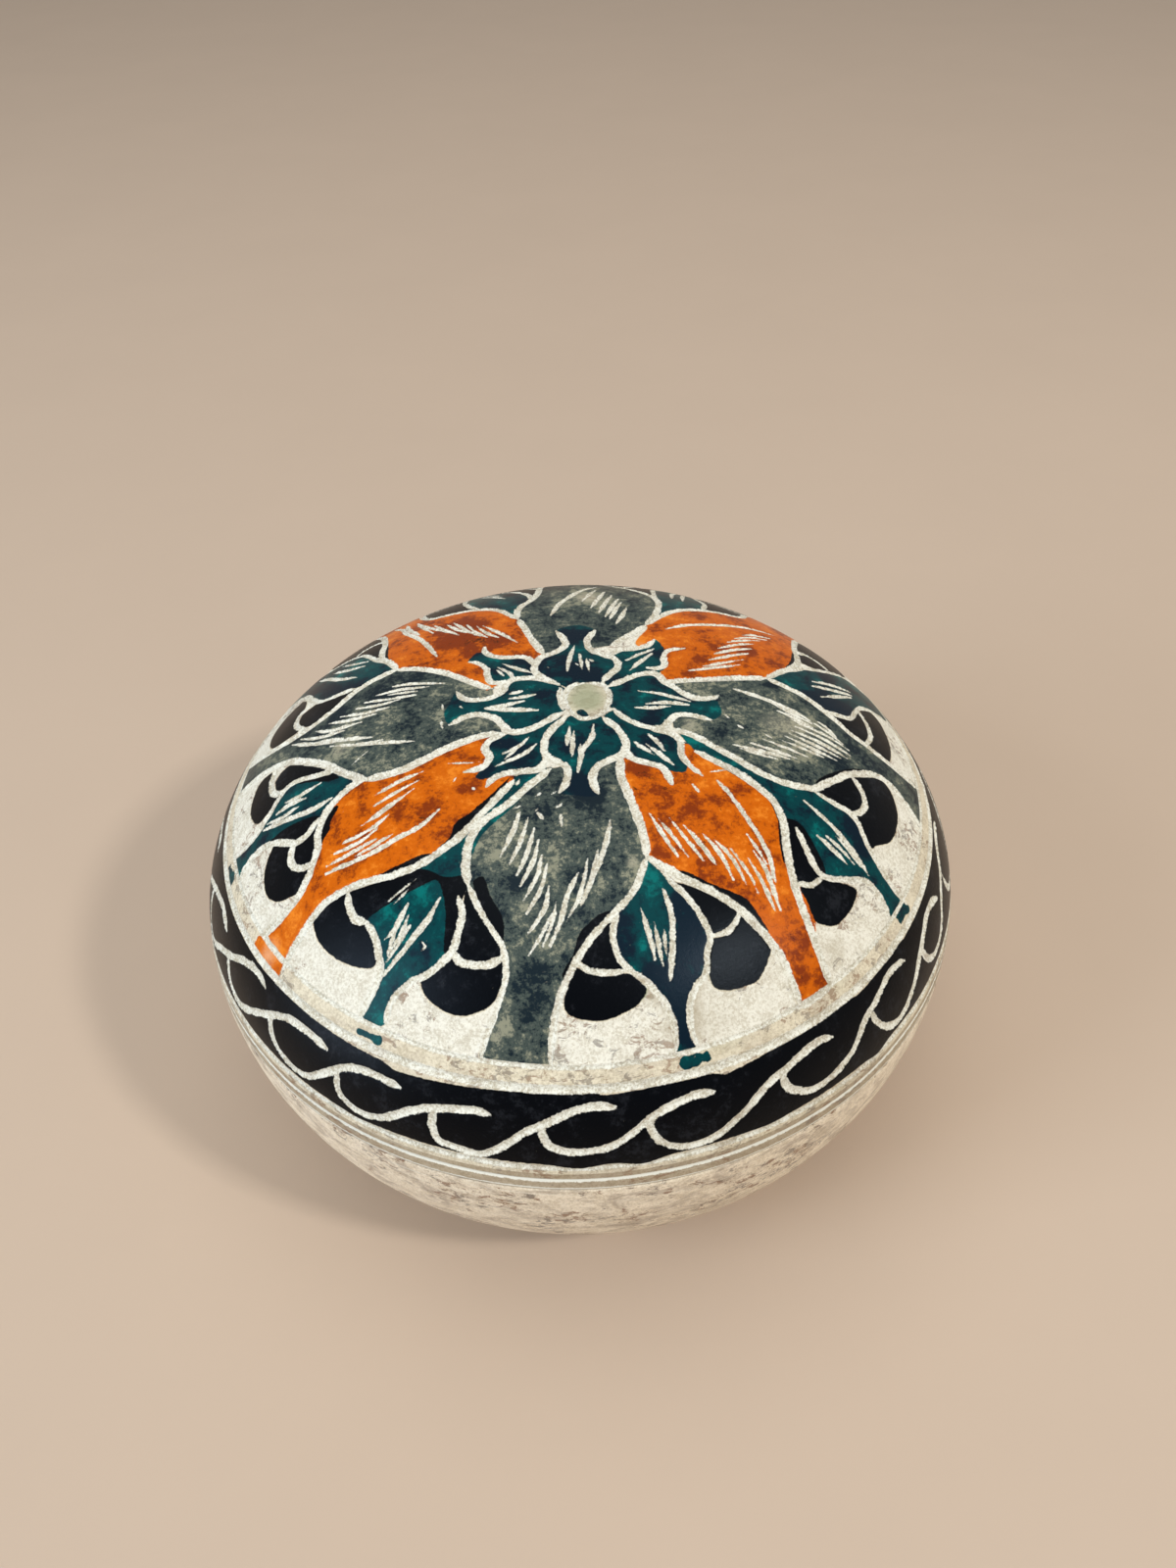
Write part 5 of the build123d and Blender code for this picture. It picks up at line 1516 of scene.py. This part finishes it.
def lid_profile():
    """Half profile of the lid's body from the top of its hollow, down inside, round the rim and up the dome.

    Also the distance down the dome of each point that lies on the outside, and -1 for the others. The last
    value of each line and arc is the spacing of its points.
    """
    ceiling = SEAM + SEAT_DEPTH
    inner_tilt = math.acos(SEAT_DEPTH / (EDGE_RADIUS - WALL))
    rim_r = EDGE_CENTRE[0] + math.sqrt((EDGE_RADIUS - RIM_ROUND) ** 2 - RIM_ROUND**2)
    rim_tilt = math.atan2(rim_r - EDGE_CENTRE[0], RIM_ROUND)
    rim_s = SHOULDER_END + EDGE_RADIUS * (rim_tilt - SHOULDER_TILT)
    inner_s = SHOULDER_END + EDGE_RADIUS * (inner_tilt - SHOULDER_TILT)
    hollow = np.stack(dome_point(tilt_at(np.linspace(0, inner_s, HOLLOW_ROWS)), WALL), axis=1)
    seat_r = SEAT_RADIUS - SEAT_ROUND
    inside = np.vstack([
        hollow,
        straight_line(hollow[-1], (seat_r, ceiling), 0.9),
        arc_line((seat_r, ceiling - SEAT_ROUND), SEAT_ROUND, 0, math.pi / 2, 0.16),
        straight_line((SEAT_RADIUS, ceiling - SEAT_ROUND), (SEAT_RADIUS, SEAM), 0.9),
        [(SEAT_RADIUS, SEAM)],
        straight_line((SEAT_RADIUS, SEAM), (rim_r, SEAM), 0.9),
        arc_line((rim_r, SEAM + RIM_ROUND), RIM_ROUND, math.pi, rim_tilt, 0.1)[:-1],
    ])
    shown = np.linspace(rim_s, BAND_END - SHOWN_LAP, SHOWN_ROWS)
    hidden = np.linspace(BAND_END - SHOWN_LAP, 0, HIDDEN_ROWS)[1:]
    s = np.concatenate([shown, hidden])
    outside = np.stack(dome_point(tilt_at(s)), axis=1)
    return np.vstack([inside, outside]), np.concatenate([np.full(len(inside), -1.0), s])


def make_bowl():
    """The turned bowl, with the slight unevenness of hand-held turning."""
    carving = bpy.context.scene.soapstone_carving

    def shape_fields(base):
        return TURNED_DEPTH + TURNED_SWING * grain(base, *TURNED_GRAIN), {}

    return turned_piece("bowl_stone", bowl_profile(), carving.turned_columns, shape_fields)


def make_lid_body():
    """The turned lid with its rings, sunk where the carved skins lie over it."""
    carving = bpy.context.scene.soapstone_carving
    profile, dome_s = lid_profile()
    rows = dome_s[1:-1, None]

    def shape_fields(base):
        s = rows * np.ones(base.shape[:2])
        outside = s >= 0
        wobble = grain(base, *WOBBLE_GRAIN) * RIM_WOBBLE
        cut = np.minimum(ring(s, BORDER_RING, BORDER_HALF, wobble), ring(s, TRIM_RING, TRIM_HALF, wobble))
        cut = np.where(outside, np.clip(cut, -REACH, REACH), REACH)
        fields = {"cut": cut, "ground": np.full_like(cut, -REACH)}
        depth = np.where(outside, carved_depth(fields, base, carving), TURNED_DEPTH)
        under_skins = 1 - ease(s, BAND_END - BODY_SLOPE, BAND_END)
        depth = depth + np.where(outside, BODY_SINK * under_skins, 0)
        # the edge above the seam is rubbed bare
        rubbed = RIM_EDGE - s + wobble
        return depth, {"cut": np.where(outside, np.minimum(cut, rubbed), REACH)}

    return turned_piece("lid_body", profile, carving.turned_columns, shape_fields)


def make_flower():
    """The small flower: one round skin over the top of the dome."""
    carving = bpy.context.scene.soapstone_carving
    s = np.linspace(0, FLOWER_END, carving.rosette_rows + 1)[1:]
    angle = np.linspace(0, 2 * math.pi, carving.rosette_columns, endpoint=False)
    return dome_skin("small_flower", s, angle, flower_fields, carving, whole=True)


def make_field(index):
    """One eighth of the large flower."""
    carving = bpy.context.scene.soapstone_carving
    s = np.linspace(FLOWER_END, FIELD_END, carving.field_rows)
    start = math.radians(45 * index)
    angle = np.linspace(start, start + math.pi / 4, carving.field_columns)
    return dome_skin(f"large_flower_{index + 1}", s, angle, flower_fields, carving)


def make_band(index):
    """One quarter of the band with the scroll."""
    carving = bpy.context.scene.soapstone_carving
    s = np.linspace(FIELD_END, BAND_END, carving.band_rows)
    start = math.radians(90 * index - 135)
    angle = np.linspace(start, start + math.pi / 2, carving.band_columns)
    return dome_skin(f"scroll_band_{index + 1}", s, angle, band_fields, carving)


def settle(piece, body, material):
    """Gives a piece its body and its material."""
    piece.data.materials.append(get_material(material))
    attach(piece, body)
    return piece


# Lights, which all point at the middle of the box: (name, place in metres, width and height, colour)
LIGHTS = (
    ("key", (-0.05, 0.1, 1.1), (0.9, 0.9), (1, 0.95, 0.88)),
    ("window", (-0.85, -0.42, 0.42), (0.4, 0.76), (0.76, 0.87, 1)),
    ("lamp", (0.57, -0.4, 0.75), (0.09, 0.09), (1, 0.98, 0.94)),
)
LIGHT_TARGET = (0, 0, 0.03)
FILL_COLOR = (1, 0.98, 0.95, 1)


def put_light(name, place, size, color, power):
    """A soft rectangular light that points at the middle of the box."""
    light = bpy.data.lights.new(name, "AREA")
    light.shape = "RECTANGLE"
    light.size = size[0]
    light.size_y = size[1]
    light.energy = power
    light.color = color
    obj = bpy.data.objects.new(name, light)
    bpy.context.scene.collection.objects.link(obj)
    obj.location = place
    direction = Vector(LIGHT_TARGET) - Vector(place)
    obj.rotation_euler = direction.to_track_quat("-Z", "Y").to_euler()


# Darkest share of the floor's colour, and its roughness
FLOOR_SHADE = 0.95
FLOOR_ROUGHNESS = 0.7


def floor_material(color):
    """Plain pale table top with a faint mottle."""
    material, tree, shader, place = start_material("table_top")
    mottle = speckle(tree, place, 0.02, 3, 0.6)
    darker = tuple(FLOOR_SHADE * value for value in color)
    tree.links.new(blend(tree, mottle, darker, color), shader.inputs["Base Color"])
    shader.inputs["Roughness"].default_value = FLOOR_ROUGHNESS
    return material


# Half the floor's side in metres, and its points along a side
FLOOR_REACH = 3.0
FLOOR_POINTS = 13


def put_floor(color):
    """A flat floor that fills the view."""
    line = np.linspace(-FLOOR_REACH, FLOOR_REACH, FLOOR_POINTS)
    x, y = np.meshgrid(line, line)
    points = np.stack([x.ravel(), y.ravel(), np.zeros(x.size)], axis=1)
    quads = grid_faces(np.arange(x.size).reshape(x.shape))
    mesh = bpy.data.meshes.new("floor")
    mesh.from_pydata(points.tolist(), [], quads.tolist())
    mesh.materials.append(floor_material(color))
    floor = bpy.data.objects.new("floor", mesh)
    bpy.context.scene.collection.objects.link(floor)


# The camera, worked out from the outline and the rings: place in millimetres, angle below level, and roll
CAMERA_PLACE = (1.8646, -142.859, 182.722)
CAMERA_DROP = math.radians(42.268)
CAMERA_ROLL = math.radians(2.048)
# Sensor's height in millimetres, and the focal length: 1250 pixels where the picture is 1600 high
CAMERA_SENSOR = 36
CAMERA_LENS = CAMERA_SENSOR * 1250 / 1600


def put_camera():
    """The camera at the photograph's viewing angle."""
    data = bpy.data.cameras.new("camera")
    data.sensor_width = CAMERA_SENSOR
    data.lens = CAMERA_LENS
    data.clip_start = 0.005
    data.clip_end = 20
    camera = bpy.data.objects.new("camera", data)
    bpy.context.scene.collection.objects.link(camera)
    sin_drop = math.sin(CAMERA_DROP)
    cos_drop = math.cos(CAMERA_DROP)
    sin_roll = math.sin(CAMERA_ROLL)
    cos_roll = math.cos(CAMERA_ROLL)
    right = Vector((1, 0, 0))
    up = Vector((0, sin_drop, cos_drop))
    forward = Vector((0, cos_drop, -sin_drop))
    across = cos_roll * right - sin_roll * up
    over = sin_roll * right + cos_roll * up
    turn = Matrix((across, over, -forward)).transposed()
    camera.matrix_world = Matrix.Translation(Vector(CAMERA_PLACE) * MM) @ turn.to_4x4()
    bpy.context.scene.camera = camera


class SOAPSTONE_OT_bowl(bpy.types.Operator):
    """Make the turned bowl."""

    bl_idname = "soapstone.bowl"
    bl_label = "Bowl"

    def execute(self, context):
        """Builds the bowl and puts it in place of the CAD bowl."""
        bowl = settle(make_bowl(), "base", "polished_stone")
        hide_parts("bowl")
        return {"FINISHED"}


class SOAPSTONE_OT_lid_body(bpy.types.Operator):
    """Make the turned lid with its rings."""

    bl_idname = "soapstone.lid_body"
    bl_label = "Lid body"

    def execute(self, context):
        """Builds the lid's body and puts it in place of the CAD lid."""
        lid = settle(make_lid_body(), "cover", "waxed_stone")
        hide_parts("lid")
        return {"FINISHED"}


class SOAPSTONE_OT_small_flower(bpy.types.Operator):
    """Make the small flower on the top of the lid."""

    bl_idname = "soapstone.small_flower"
    bl_label = "Small flower"

    def execute(self, context):
        """Builds the small flower's skin."""
        settle(make_flower(), "cover", "carved_and_painted")
        return {"FINISHED"}


class SOAPSTONE_OT_large_flower(bpy.types.Operator):
    """Make the large flower round it, in eight equal parts."""

    bl_idname = "soapstone.large_flower"
    bl_label = "Large flower"

    def execute(self, context):
        """Builds the eight skins."""
        for index in range(8):
            settle(make_field(index), "cover", "carved_and_painted")
        return {"FINISHED"}


class SOAPSTONE_OT_scroll_band(bpy.types.Operator):
    """Make the black band with its running scroll, in four equal parts."""

    bl_idname = "soapstone.scroll_band"
    bl_label = "Scroll band"

    def execute(self, context):
        """Builds the four skins."""
        for index in range(4):
            settle(make_band(index), "cover", "carved_and_painted")
        return {"FINISHED"}


class SOAPSTONE_OT_stage(bpy.types.Operator):
    """Make the table top, the lights and the camera."""

    bl_idname = "soapstone.stage"
    bl_label = "Stage"

    def execute(self, context):
        """Sets up the view."""
        scene = context.scene
        looks = scene.soapstone_looks
        scene.view_settings.view_transform = "Standard"
        put_floor(tuple(looks.floor))
        for name, place, size, color in LIGHTS:
            put_light(name + "_light", place, size, color, getattr(looks, name + "_power"))
        world = bpy.data.worlds.new("studio")
        world.use_nodes = True
        sky = world.node_tree.nodes["Background"]
        sky.inputs["Color"].default_value = FILL_COLOR
        sky.inputs["Strength"].default_value = looks.fill
        scene.world = world
        put_camera()
        return {"FINISHED"}


OPERATORS = (SOAPSTONE_OT_bowl, SOAPSTONE_OT_lid_body, SOAPSTONE_OT_small_flower, SOAPSTONE_OT_large_flower,
             SOAPSTONE_OT_scroll_band, SOAPSTONE_OT_stage)


class SOAPSTONE_PT_panel(bpy.types.Panel):
    """Sidebar panel that lists the box's operators and settings."""

    bl_label = "Soapstone box"
    bl_idname = "SOAPSTONE_PT_panel"
    bl_space_type = "VIEW_3D"
    bl_region_type = "UI"
    bl_category = "Soapstone"

    def draw(self, context):
        """Lists the operators, then the settings."""
        for operator in OPERATORS:
            self.layout.operator(operator.bl_idname)
        for settings in (context.scene.soapstone_carving, context.scene.soapstone_looks):
            for key in settings.bl_rna.properties.keys():
                if key not in ("rna_type", "name"):
                    self.layout.prop(settings, key)


CLASSES = (SoapstoneCarving, SoapstoneLooks, *OPERATORS, SOAPSTONE_PT_panel)


def register():
    """Registers the classes and hangs the settings on the scene."""
    for item in CLASSES:
        bpy.utils.register_class(item)
    bpy.types.Scene.soapstone_carving = PointerProperty(type=SoapstoneCarving)
    bpy.types.Scene.soapstone_looks = PointerProperty(type=SoapstoneLooks)


def unregister():
    """Takes the settings and the classes away again."""
    del bpy.types.Scene.soapstone_looks
    del bpy.types.Scene.soapstone_carving
    for item in reversed(CLASSES):
        bpy.utils.unregister_class(item)


def main():
    """Builds the whole scene."""
    register()
    bpy.ops.soapstone.bowl()
    bpy.ops.soapstone.lid_body()
    bpy.ops.soapstone.small_flower()
    bpy.ops.soapstone.large_flower()
    bpy.ops.soapstone.scroll_band()
    bpy.ops.soapstone.stage()


if __name__ == "__main__":
    main()
